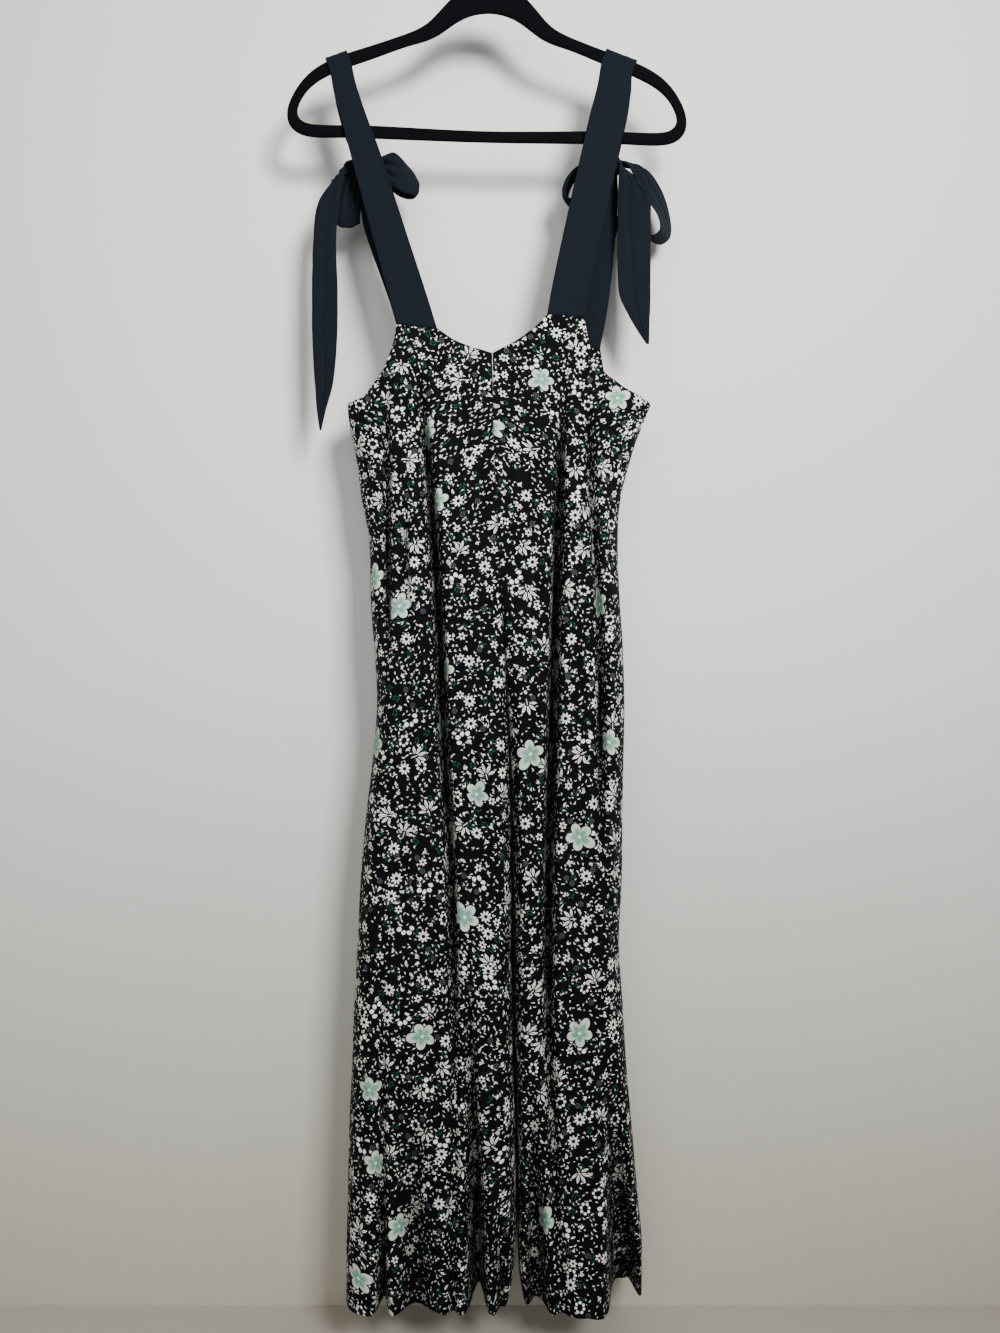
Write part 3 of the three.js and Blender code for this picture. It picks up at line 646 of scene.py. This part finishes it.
def rosette(reach, angle, petals, centre, long, wide):
    """Less than 1 inside round petals."""
    x, y = spread(reach, angle, petals, centre)
    return (squared(x / long) + squared(y / wide)) ** 0.5


def leaf_fan(reach, angle, leaves, centre, long, wide):
    """Less than 1 inside pointed leaves that spread from one place."""
    x, y = spread(reach, angle, leaves, centre)
    return leaf(x, y, long, wide)


GROUND = (0.0012, 0.0015, 0.0022)
CREAM = (0.86, 0.86, 0.80)
MINT_EDGE = (0.58, 0.65, 0.56)
MINT = (0.15, 0.35, 0.25)
TEAL = (0.010, 0.070, 0.048)
GREY = (0.10, 0.11, 0.12)
DRIFT_SCALE = 0.03
DRIFT_TURN = 26


class Print:
    """Scatters motifs on the ground, each kind over the last."""

    def __init__(self, tree):
        self.tree, self.colour = tree, GROUND
        self.places = flat_places(tree)
        self.drift = noise(tree, self.places, DRIFT_SCALE, 1, "2D") * DRIFT_TURN

    def paint(self, mask, colour):
        mix = node(self.tree, "ShaderNodeMix", data_type="RGBA")
        mask.into(mix.inputs["Factor"])
        feed(self.tree, self.colour, mix.inputs[6])
        feed(self.tree, colour, mix.inputs[7])
        self.colour = mix.outputs[2]

    def cells(self, pitch, jitter, shift, feature="F1"):
        """Cells of about pitch mm, turned by shift so that no two kinds of motif share their places."""
        moved = node(self.tree, "ShaderNodeVectorRotate", rotation_type="Z_AXIS")
        set_inputs(moved, {"Center": (shift, 1.7 * shift, 0), "Angle": 0.37 * shift})
        self.tree.links.new(self.places, moved.inputs["Vector"])
        pattern = node(self.tree, "ShaderNodeTexVoronoi", voronoi_dimensions="2D", feature=feature)
        set_inputs(pattern, {"Scale": 1 / pitch, "Randomness": jitter})
        self.tree.links.new(moved.outputs[0], pattern.inputs["Vector"])
        return moved.outputs[0], pattern

    def scatter(self, pitch, jitter, shift, rare, drifting=False):
        """One turned place in each cell: its own x and y, whether a motif is there, and a random size.
        rare is the share of the cells that stay empty."""
        tree = self.tree
        moved, pattern = self.cells(pitch, jitter, shift)
        local = node(tree, "ShaderNodeVectorMath", operation="SUBTRACT")
        tree.links.new(moved, local.inputs[0])
        tree.links.new(pattern.outputs["Position"], local.inputs[1])
        chance = node(tree, "ShaderNodeSeparateColor")
        tree.links.new(pattern.outputs["Color"], chance.inputs[0])
        turn, pick, size = (Field(tree, output) for output in chance.outputs)
        turn = turn * 1.5 + self.drift if drifting else turn * (2 * math.pi)
        rotated = node(tree, "ShaderNodeVectorRotate", rotation_type="Z_AXIS")
        tree.links.new(local.outputs[0], rotated.inputs["Vector"])
        turn.into(rotated.inputs["Angle"])
        x, y, _ = split(tree, rotated.outputs[0])
        return x, y, pick.above(rare), size

    def petals(self, reach, here, margin, shape, blur):
        """Cream petals on a disc of ground."""
        self.paint(reach.below(margin, 0.3) * here, GROUND)
        self.paint(shape.below(1, blur) * here, CREAM)


def sprigs(cloth):
    """Two pairs of small teal leaves."""
    x, y, here, _ = cloth.scatter(13, 0.9, 151, 0.7)
    side = abs(x)
    first = leaf(side - 2.3, y - side * 0.6, 1.9, 0.9).below(1, 0.2)
    second = leaf(side - 2.0, y - side * 0.6 - 3.2, 1.7, 0.8).below(1, 0.2)
    cloth.paint(first.either(second) * here, TEAL)


def leaflets(cloth):
    """The smallest leaves, which stop short of their cells' borders."""
    pitch, jitter, shift = 4.9, 0.85, 71
    x, y, here, size = cloth.scatter(pitch, jitter, shift, 0.42, drifting=True)
    _, pattern = cloth.cells(pitch, jitter, shift, "DISTANCE_TO_EDGE")
    border = Field(cloth.tree, pattern.outputs["Distance"]) * pitch
    grow = size * 0.55 + 0.68
    mark = leaf(x / grow, y / grow, 2.0, 0.5).below(1, 0.2) * border.above(0.3)
    cloth.paint(mark * here, CREAM)


def leaves(cloth):
    """Larger leaves with a rib."""
    x, y, here, _ = cloth.scatter(11, 0.9, 97, 0.68, drifting=True)
    shape = leaf(x, y, 2.9, 1.15)
    cloth.paint(shape.below(1.45, 0.15) * here, GROUND)
    cloth.paint(shape.below(1, 0.15) * here, CREAM)
    cloth.paint(leaf(x + 0.7, y, 1.5, 0.3).below(1, 0.4) * here, GROUND)


def grey_rings(cloth):
    x, y, here, _ = cloth.scatter(24, 0.9, 241, 0.6)
    reach, angle = polar(x, y)
    dots = (angle * (8 / (2 * math.pi))).math("FRACT").below(0.6, 0.2)
    ring = abs(reach - 2.3).below(0.5, 0.3) * dots
    cloth.paint(reach.below(3.6, 0.3) * here, GROUND)
    cloth.paint(ring.either(reach.below(0.7, 0.3)) * here, GREY)


def small_flowers(cloth):
    x, y, here, _ = cloth.scatter(19, 0.9, 517, 0.79)
    reach, angle = polar(x, y)
    cloth.petals(reach, here, 5.0, rosette(reach, angle, 6, 2.7, 1.5, 0.95), 0.2)


def wreaths(cloth):
    x, y, here, _ = cloth.scatter(31, 0.9, 643, 0.79)
    reach, angle = polar(x, y)
    uneven = (angle * 2 + 0.6).math("SINE") * 0.5
    cloth.petals(reach, here, 7.2, rosette(reach - uneven, angle, 7, 4.7, 1.5, 1.55), 0.15)


def fans(cloth):
    """Five pointed leaves with ribs, on a short stem."""
    x, y, here, _ = cloth.scatter(34, 0.85, 333, 0.74)
    reach, angle = polar(x, y + 5)
    reach = reach * (angle.math("SINE") * -0.22 + 1.22)
    angle = angle + (math.pi / 9 - math.pi / 2)
    upper = (y + 5).above(-1.2) * here
    cloth.paint(leaf_fan(reach, angle, 9, 7.9, 5.6, 2.6).below(1, 0.1) * upper, GROUND)
    cloth.paint(leaf_fan(reach, angle, 9, 7.9, 4.7, 1.6).below(1, 0.14) * upper, CREAM)
    cloth.paint(leaf_fan(reach, angle, 9, 7.0, 3.0, 0.34).below(1, 0.4) * upper, GROUND)
    stem = abs(x).below(0.35, 0.3) * abs(y + 6.5).below(3.2, 0.4)
    cloth.paint(stem * here, CREAM)


def daisies(cloth):
    x, y, here, _ = cloth.scatter(33, 0.9, 811, 0.72)
    reach, angle = polar(x, y)
    cloth.petals(reach, here, 7.0, rosette(reach, angle, 9, 4.1, 2.3, 1.05), 0.15)
    cloth.paint(abs(reach - 1.6).below(0.3, 0.25) * here, GROUND)


def open_rings(cloth):
    """Rings of round petals that are open on one side."""
    x, y, here, _ = cloth.scatter(47, 0.9, 1207, 0.72)
    reach, angle = polar(x, y)
    here = here * angle.math("SINE").above(-0.35)
    uneven = (angle * 3).math("SINE") * 0.7
    cloth.petals(reach, here, 10.2, rosette(reach - uneven, angle, 7, 6.6, 2.5, 2.3), 0.1)


def mint_flowers(cloth):
    """Large flowers of five petals, one of them longer, with a star and notches of ground."""
    x, y, here, size = cloth.scatter(92, 0.85, 1999, 0.42)
    reach, angle = polar(x, y)
    longer = (angle.math("COSINE").math("MAXIMUM", 0)) ** 4
    reach = reach / (size * 0.2 + 1.02) / (longer * 0.24 + 1)
    turned = angle + math.pi / 5
    flower = rosette(reach, turned, 5, 7.6, 4.9, 4.2).math("MINIMUM", reach / 6.4).below(1, 0.1)
    rim = rosette(reach, turned, 5, 7.6, 5.9, 5.2).math("MINIMUM", reach / 7.4).below(1, 0.1)
    on_petal = abs((angle * 2.5).math("COSINE"))
    cloth.paint(rim * here, GROUND)
    cloth.paint(flower * here, MINT_EDGE)
    star = (reach / 12.4).below(on_petal * 0.36 + 0.28, 0.24)
    cloth.paint(star * flower * here, MINT)
    notch = on_petal.below(0.09, 0.08) * reach.above(4.6)
    cloth.paint(notch * here * rim, GROUND)
    cloth.paint(reach.below(1.3, 1.4) * here, CREAM)


def print_colour(tree):
    """Leaves, fans, rings and small flowers on black, and a few large mint flowers."""
    cloth = Print(tree)
    for motif in (sprigs, leaflets, leaves, grey_rings, small_flowers, wreaths, fans, daisies,
                  open_rings, mint_flowers):
        motif(cloth)
    return cloth.colour


# Woven cloth
# How much the painted shade darkens the cloth's colour at its deepest
PAINTED_SHADE_STRENGTH = 0.62
DASH_PITCH = 2.6
WEAVE_RELIEF = 0.25


def woven(tree, shader, colour_of, roughness, sheen, pitch, bump):
    """A cloth's colour and painted shade, fine weave, uneven roughness and the stitches along its edges.
    """
    set_inputs(shader, {"Sheen Weight": sheen, "Sheen Roughness": 0.5, "Specular IOR Level": 0.12})
    places = flat_places(tree)
    patch = noise(tree, places, 0.05, 4, "2D")
    (patch * 0.16 + (roughness - 0.08)).into(shader.inputs["Roughness"])
    across, up, _ = split(tree, places)
    weft, warp = (way * (2 * math.pi / pitch) for way in (across, up))
    threads = weft.math("SINE") * warp.math("SINE") + (weft * 0.5).math("SINE") * 0.2
    # Painted shade: the colour is darkened deep in folds and along the middle seam
    shade = marked(tree, "painted_shade") * -PAINTED_SHADE_STRENGTH + 1
    tone = node(tree, "ShaderNodeHueSaturation")
    ((threads * 0.05 + patch * 0.24 + 0.88) * shade).into(tone.inputs["Value"])
    feed(tree, colour_of(tree), tone.inputs["Color"])
    tree.links.new(tone.outputs[0], shader.inputs["Base Color"])
    dash = (across / DASH_PITCH).math("FRACT").below(0.7, 0.2)
    stitch = abs(marked(tree, "edge")).below(0.5, 0.5) * dash
    relief(tree, shader, threads * 0.5 - stitch * 2, bump, WEAVE_RELIEF)


STRAP_COLOUR = (0.0043, 0.0068, 0.0112)
PRINT_CLOTH = new_material("floral_cloth", woven, print_colour, 0.9, 0.0, 0.55, 0.35)
STRAP_BLACK = new_material("strap_cloth", woven, lambda tree: STRAP_COLOUR, 0.85, 0.015, 0.7, 0.5)

# Where on the printed length each panel is cut, and the upright lines that are its straight grain
CUT_FROM = {
    ("front", "right"): (0, 0), ("front", "left"): (430, 170),
    ("back", "right"): (900, 60), ("back", "left"): (1330, 290),
}
GRAIN_LINE = {"right": -80, "left": 92}

# A stitch line's width, and how deep it draws the cloth in as a share of its thickness
STITCH_WIDTH = 0.9
STITCH_DEPTH = 0.25


def add_panel(side, face):
    """One panel, with its stitch lines drawn in and its flat places."""
    points, from_top, from_hem = panel_points(side, face)
    lines = np.minimum(np.abs(from_top - EDGE_TURN), np.abs(from_hem - HEM_TURN))
    # Besides the stitch lines, each panel keeps how much painted shade darkens it in folds and along the
    # middle seam
    marks = {"edge": lines, "painted_shade": painted_shade(side, face, points[..., 0], points[..., 2])}
    drawn_in = np.exp(-(lines / STITCH_WIDTH) ** 2) * STITCH_DEPTH * CLOTH
    points[..., 1] += drawn_in if face == "front" else -drawn_in
    uv = cloth_uv(points, GRAIN_LINE[side]) + CUT_FROM[face, side]
    name = f"panel_{face}_{side}"
    piece = grid_object(name, points, uv, marks, CLOTH, PRINT_CLOTH, f"{face}_{side}")


for side in ("right", "left"):
    for face in ("front", "back"):
        add_panel(side, face)

# Straps, loops and tails
RIBBON = "x y z width lean turn"
RIBBON_COLUMNS = 24
ROW_SPACING = 2.2
PLEATS = 3
FOLD_RADIUS = 1.5
CREASE_DEPTH = 1.1
CREASE_SHARE = 0.045
RIBBON_STITCH = 3
TIPS = {"tie_tail": {"right": 110, "left": 60}, "tie_tail_hidden": {"right": 50, "left": 50}}
LOOPS = {
    ("bow_loop_inner", "right"): {"loose": 0.9, "bulge": 9},
    ("bow_loop_outer", "right"): {"loose": 1.6, "bulge": 8},
    ("bow_loop_inner", "left"): {"loose": 1.9},
    ("bow_loop_outer", "left"): {"loose": 1.6, "bulge": 3},
}

# Pleats by a knot: how much higher they are, and where they fade and the folded edge begins
KNOT_PLEAT = 1.75
PLEAT_FADE = (8, 46)
FOLD_START = (12, 50)


def ribbon_line(rows):
    """A smooth line through a ribbon's rows: the places along it, its centre and width there, and the
    directions across it and out of its face."""
    rows = np.array([[*row, 0][:6] for row in rows], float)
    gaps = np.linalg.norm(np.diff(rows[:, :3], axis=0), axis=1)
    way = np.concatenate([[0], np.cumsum(np.maximum(gaps, 0.5))])
    named = {**table(RIBBON, rows), "way": way}
    places = np.linspace(0, way[-1], max(int(way[-1] / ROW_SPACING), 8) + 1)
    x, y, z, width, lean, turn = (curve(named, "way", column, places) for column in RIBBON.split())
    lean, turn = np.radians(lean), np.radians(turn)
    centre = np.stack([x, y, z], axis=-1)
    across = np.stack([np.cos(lean) * np.cos(turn), np.sin(turn), np.sin(lean) * np.cos(turn)], axis=-1)
    normal = np.cross(np.gradient(centre, axis=0), across)
    normal /= np.maximum(np.linalg.norm(normal, axis=-1, keepdims=True), 1e-9)
    return places, centre, np.maximum(width, 1.5), across, normal


def folded_section(share, width, folded):
    """How far sideways and behind each point is, where one edge is folded to the back."""
    section = (share + 0.5) * (width + folded)[:, None]
    straight = np.where(folded > 0, width - FOLD_RADIUS, width)[:, None]
    angle = np.clip((section - straight) / FOLD_RADIUS, 0, math.pi)
    beyond = np.maximum(section - straight - math.pi * FOLD_RADIUS, 0)
    sideways = np.minimum(section, straight) + FOLD_RADIUS * np.sin(angle) - beyond
    return sideways - width[:, None] / 2, FOLD_RADIUS * (1 - np.cos(angle))


def ribbon_points(rows, knots, fold=0, tip=0, loose=0.35, wave=0.5, phase=0.0, bulge=0.0, crease=0.0):
    """A ribbon's points, flat places, distances to a stitch line, length and flat area. Where it is
    narrower than it was cut, the spare width stands in pleats near a knot, and further off one edge is
    folded to the back, on the side that fold names. tip is the length of a pointed end, loose is how
    high pleats stand away from a knot, bulge is how far the middle of a loop's far end stands out past
    its edges, and crease is the share of the width where a crease starts that slants to the end."""
    places, centre, width, across, normal = ribbon_line(rows)
    length = places[-1]
    if fold:
        normal *= np.where(normal[:, 1:2] < 0, -1, 1)

    cut = STRAP_WIDTH * (np.clip((length - places) / tip, 0.04, 1) if tip else np.ones(len(places)))
    from_ends = {"start": places, "end": length - places}
    from_knot = np.min([from_ends[end] for end in knots], axis=0)
    spare = np.maximum(cut - width, 0)
    folded = spare * smooth(from_knot, *FOLD_START) * bool(fold)
    limit = loose + KNOT_PLEAT * (1 - smooth(from_knot, *PLEAT_FADE))
    limit = limit * (1 - 0.8 * bool(bulge) * np.sin(math.pi * places / length) ** 2)
    height = np.minimum(np.sqrt((spare - folded) / width) * width / (math.pi * PLEATS), limit)

    share = np.linspace(-0.5, 0.5, RIBBON_COLUMNS + 1)
    sideways, behind = folded_section(share, width, folded)
    bend = 0.8 * np.sin(places / 31)[:, None]
    pleat = height[:, None] * np.cos(2 * math.pi * PLEATS * share + bend + phase)
    sway = wave * np.sin(places / 23 + phase)[:, None] * np.cos(math.pi * share)
    fade = np.minimum(1, 6 * (0.5 - np.abs(share)) + 0.35)
    off_line = share - crease * (1 - places / length)[:, None]
    trough = CREASE_DEPTH * bool(crease) * np.exp(-(off_line / CREASE_SHARE) ** 2)
    points = (centre[:, None] + across[:, None] * (sideways * (fold or 1))[..., None]
              + normal[:, None] * ((pleat + sway) * fade + behind + trough)[..., None])
    far = centre[len(centre) // 2] - centre[0]
    far /= np.linalg.norm(far)
    drawn_in = bulge * (np.sin(math.pi * places / length) ** 3)[:, None] * (2 * share) ** 2
    points -= far * drawn_in[..., None]

    uv = np.stack([share * cut[:, None], np.broadcast_to(places[:, None], pleat.shape)], axis=-1)
    edge = (0.5 - np.abs(share)) * cut[:, None] - RIBBON_STITCH
    area = float(((cut[1:] + cut[:-1]) / 2 * np.diff(places)).sum())
    return points, uv, edge, length, area


def seam_row(side, face):
    """The end of a strap that is sewn to a panel's top edge."""
    xs, zs = top_line(side, face, np.array(STRAP_SHARES[face]))
    order = np.argsort(xs)
    xs, zs = xs[order], zs[order] + 1.5 * SEAM_GAP
    ys = cloth_y(side, face, xs, zs)
    width = math.hypot(xs[1] - xs[0], zs[1] - zs[0])
    lean = math.degrees(math.atan2(zs[1] - zs[0], xs[1] - xs[0]))
    return [xs.mean(), ys.mean(), zs.mean(), width, lean]


def over_bar(side):
    """A strap's way up, over the hanger's bar in a half round, and down."""
    x, z, slope, width = CROSSINGS[side]
    tilt = math.radians(slope)
    radius = BAR_DEPTH / 2 + 1.7 * SEAM_GAP + STRAP_WALL / 2
    way = [(-radius, -BAR_HEIGHT)]
    for angle in np.linspace(0, math.pi, 9):
        way.append((-radius * math.cos(angle), radius * math.sin(angle) - BAR_BEVEL))
    way.append((radius, -BAR_HEIGHT))
    return [[x - math.sin(tilt) * up, y, z + math.cos(tilt) * up, width, slope] for y, up in way]


def knot_row(side, row):
    """A ribbon's row, moved to just inside the knot's dressed surface."""
    centre = KNOTS[side]
    towards = np.array(row[:3], float) - centre
    reach = 1 / np.linalg.norm(towards / KNOT_HALF) + KNOT_GAP / np.linalg.norm(towards)
    return [*(centre + towards * reach * 0.9), *row[3:]]


def add_ribbon(name, rows, node_name, rests_on, knots, **shape):
    points, uv, edge, length, area = ribbon_points(rows, knots, **shape)
    marks = {"edge": edge}
    piece = grid_object(name, points, uv, marks, STRAP_CLOTH, STRAP_BLACK, node_name)
    area * MM * MM


# The knots' own ridges, and a mark that keeps stitches off them
KNOT_COLUMNS = 48
KNOT_ROWS = 25
RIDGE = 0.07
WRINKLE = 0.05
NO_STITCH = 20


def knot_object(side):
    """A knot: cloth wound round, in soft ridges that run over it from top to bottom."""
    points = []
    for t in np.linspace(-1, 1, KNOT_ROWS):
        angle = t * math.pi / 2
        ring = math.cos(angle) ** 0.8
        for turn in np.linspace(0, 2 * math.pi, KNOT_COLUMNS, endpoint=False):
            ridge = 1 + RIDGE * math.cos(5.5 * t * math.pi + 0.6 * math.sin(2 * turn)) * math.cos(angle)
            ridge += WRINKLE * math.sin(3 * turn + 1.3 * t)
            ball = [math.sin(angle), ring * math.cos(turn), ring * math.sin(turn)]
            points.append(KNOTS[side] + KNOT_HALF * ridge * np.array(ball))
    faces = []
    for row in range(KNOT_ROWS - 1):
        here, above = row * KNOT_COLUMNS, (row + 1) * KNOT_COLUMNS
        for i in range(KNOT_COLUMNS):
            j = (i + 1) % KNOT_COLUMNS
            faces.append([here + i, here + j, above + j, above + i])
    name = f"knot_{side}"
    mesh = bpy.data.meshes.new(name)
    mesh.from_pydata((np.array(points) * MM).tolist(), [], faces)
    shape = bmesh.new()
    shape.from_mesh(mesh)
    bmesh.ops.remove_doubles(shape, verts=shape.verts, dist=0.02 * MM)
    bmesh.ops.recalc_face_normals(shape, faces=shape.faces)
    shape.to_mesh(mesh)
    shape.free()
    layer = mesh.uv_layers.new(name="cloth")
    for loop in mesh.loops:
        place = mesh.vertices[loop.vertex_index].co
        layer.data[loop.index].uv = (place.x, place.z)
    mark_points(mesh, "edge", np.full(len(mesh.vertices), NO_STITCH))
    add_piece(name, mesh, STRAP_BLACK, f"bow_knot_{side}")


def add_side(side):
    """One side's straps, knot, loops and tails."""
    strap = STRAPS[side]
    outward = 1 if side == "left" else -1
    down = strap["front_down"][:-1] + [knot_row(side, strap["front_down"][-1])]
    front = [seam_row(side, "front"), *strap["front_up"], *over_bar(side), *down]
    back = [knot_row(side, strap["back"][0]), *strap["back"][1:], seam_row(side, "back")]
    knot = [f"bow_knot_{side}"]
    add_ribbon(f"strap_front_{side}_cloth", front, f"strap_front_{side}", ["hanger"], ["end"],
               loose=0.12, wave=0.3)
    add_ribbon(f"strap_back_{side}_cloth", back, f"strap_back_{side}", knot, ["start"], fold=-outward)
    knot_object(side)
    for count, (name, rows) in enumerate(BOWS[side].items()):
        placed, knots = [knot_row(side, rows[0])] + rows[1:], ["start"]
        shape = {"phase": 1.1 * count}
        if name.startswith("bow_loop"):
            placed[-1] = knot_row(side, placed[-1])
            knots.append("end")
            shape.update(LOOPS[name, side])
        else:
            shape.update(fold=outward, tip=TIPS[name][side], crease=-0.3)
        add_ribbon(f"{name}_{side}_cloth", placed, f"{name}_{side}", knot, knots, **shape)


for side in ("right", "left"):
    add_side(side)


# The hanger: the solid's own ring, rounded, under short flock
def flock(tree, shader):
    set_inputs(shader, {"Roughness": 0.95, "Specular IOR Level": 0.08})
    set_inputs(shader, {"Sheen Weight": 0.015, "Sheen Roughness": 0.4})
    grain = noise(tree, object_places(tree), 1400, 3)
    blended(tree, shader, grain, (0.0006, 0.0008, 0.0013), (0.0024, 0.003, 0.0045))
    relief(tree, shader, grain, 0.5, 0.2)


def steel(tree, shader):
    set_inputs(shader, {"Metallic": 1})
    grain = noise(tree, object_places(tree), 300)
    blended(tree, shader, grain, (0.50, 0.51, 0.53), (0.62, 0.63, 0.65))
    (grain * 0.1 + 0.18).into(shader.inputs["Roughness"])


def rounded_copy(node_name, name, material):
    """The node's own mesh as quads, with smooth rounding."""
    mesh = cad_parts[node_name].data.copy()
    shape = bmesh.new()
    shape.from_mesh(mesh)
    bmesh.ops.remove_doubles(shape, verts=shape.verts, dist=0.01 * MM)
    bmesh.ops.join_triangles(shape, faces=shape.faces, angle_face_threshold=0.8, angle_shape_threshold=3.1)
    shape.to_mesh(mesh)
    shape.free()
    piece = add_piece(name, mesh, material, node_name)
    rounding = piece.modifiers.new("rounding", "SUBSURF")
    rounding.levels = rounding.render_levels = 2


rounded_copy("hanger", "hanger_flocked", new_material("velvet_flock", flock))
rounded_copy("hanger_hook", "hook_wire_round", new_material("hook_wire", steel))

# The pale wall behind and the floor below, in metres from here on
WALL_Y = 0.068
WALL_TOP = 3
FLOOR_Z = -1.553
FLOOR_FRONT = -5
STAGE_HALF = 4
# The wall's painted shade: darkest at this height, and brightening over this span above it
PAINTED_SHADE_FOOT = -1.65
PAINTED_SHADE_RISE = 0.85


def paint_with_painted_shade(tree, shader):
    """Pale paint with painted shade, a little darker and warmer low down, that can be seen through from
    behind.
    """
    set_inputs(shader, {"Roughness": 0.9})
    places = object_places(tree)
    # Painted shade: the colour darkens towards the foot of the wall, where less light falls
    up = (split(tree, places)[2] - PAINTED_SHADE_FOOT) / PAINTED_SHADE_RISE
    cloudy = (noise(tree, places, 3) - 0.5) * 0.15
    blended(tree, shader, up + cloudy, (0.45, 0.41, 0.33), (0.80, 0.80, 0.775))
    facing = node(tree, "ShaderNodeNewGeometry")
    clear = node(tree, "ShaderNodeBsdfTransparent")
    mix = node(tree, "ShaderNodeMixShader")
    tree.links.new(facing.outputs["Backfacing"], mix.inputs[0])
    tree.links.new(shader.outputs[0], mix.inputs[1])
    tree.links.new(clear.outputs[0], mix.inputs[2])
    tree.links.new(mix.outputs[0], tree.nodes["Material Output"].inputs["Surface"])


PAINT = new_material("paint_with_painted_shade", paint_with_painted_shade)


def stage_plane(name, corners):
    mesh = bpy.data.meshes.new(name)
    mesh.from_pydata(corners, [], [[0, 1, 2, 3]])
    mesh.materials.append(PAINT)
    new_object(name, mesh)


wall_foot = [(-STAGE_HALF, WALL_Y, FLOOR_Z), (STAGE_HALF, WALL_Y, FLOOR_Z)]
stage_plane("wall", [*wall_foot, (STAGE_HALF, WALL_Y, WALL_TOP), (-STAGE_HALF, WALL_Y, WALL_TOP)])
front_line = [(-STAGE_HALF, FLOOR_FRONT, FLOOR_Z), (STAGE_HALF, FLOOR_FRONT, FLOOR_Z)]
stage_plane("floor", [*front_line, *reversed(wall_foot)])


def area_light(name, place, aim, size, power, spread):
    """A square light that shines from place towards aim."""
    data = bpy.data.lights.new(name, "AREA")
    data.shape, data.size = "SQUARE", size
    data.energy, data.spread = power, math.radians(spread)
    lamp = new_object(name, data)
    lamp.location = place
    lamp.rotation_euler = (Vector(aim) - Vector(place)).to_track_quat("-Z", "Y").to_euler()


area_light("window", (0.95, -2.1, 0.35), (0, 0, -0.32), 0.7, 19, 76)
area_light("fill", (-0.6, -2.8, 0.2), (0, 0, -0.3), 2.0, 12.5, 100)

world = bpy.data.worlds.new("soft_room")
bpy.context.scene.world = world
world.use_nodes = True
set_inputs(world.node_tree.nodes["Background"], {"Color": (0.95, 0.97, 1, 1), "Strength": 0.25})

camera_data = bpy.data.cameras.new("camera")
camera_data.sensor_width = 36
camera_data.lens = 30.72
camera = new_object("camera", camera_data)
camera.location = (0.0132, -1.25, -0.813)
camera.rotation_euler = (math.radians(90), 0, 0)
bpy.context.scene.camera = camera
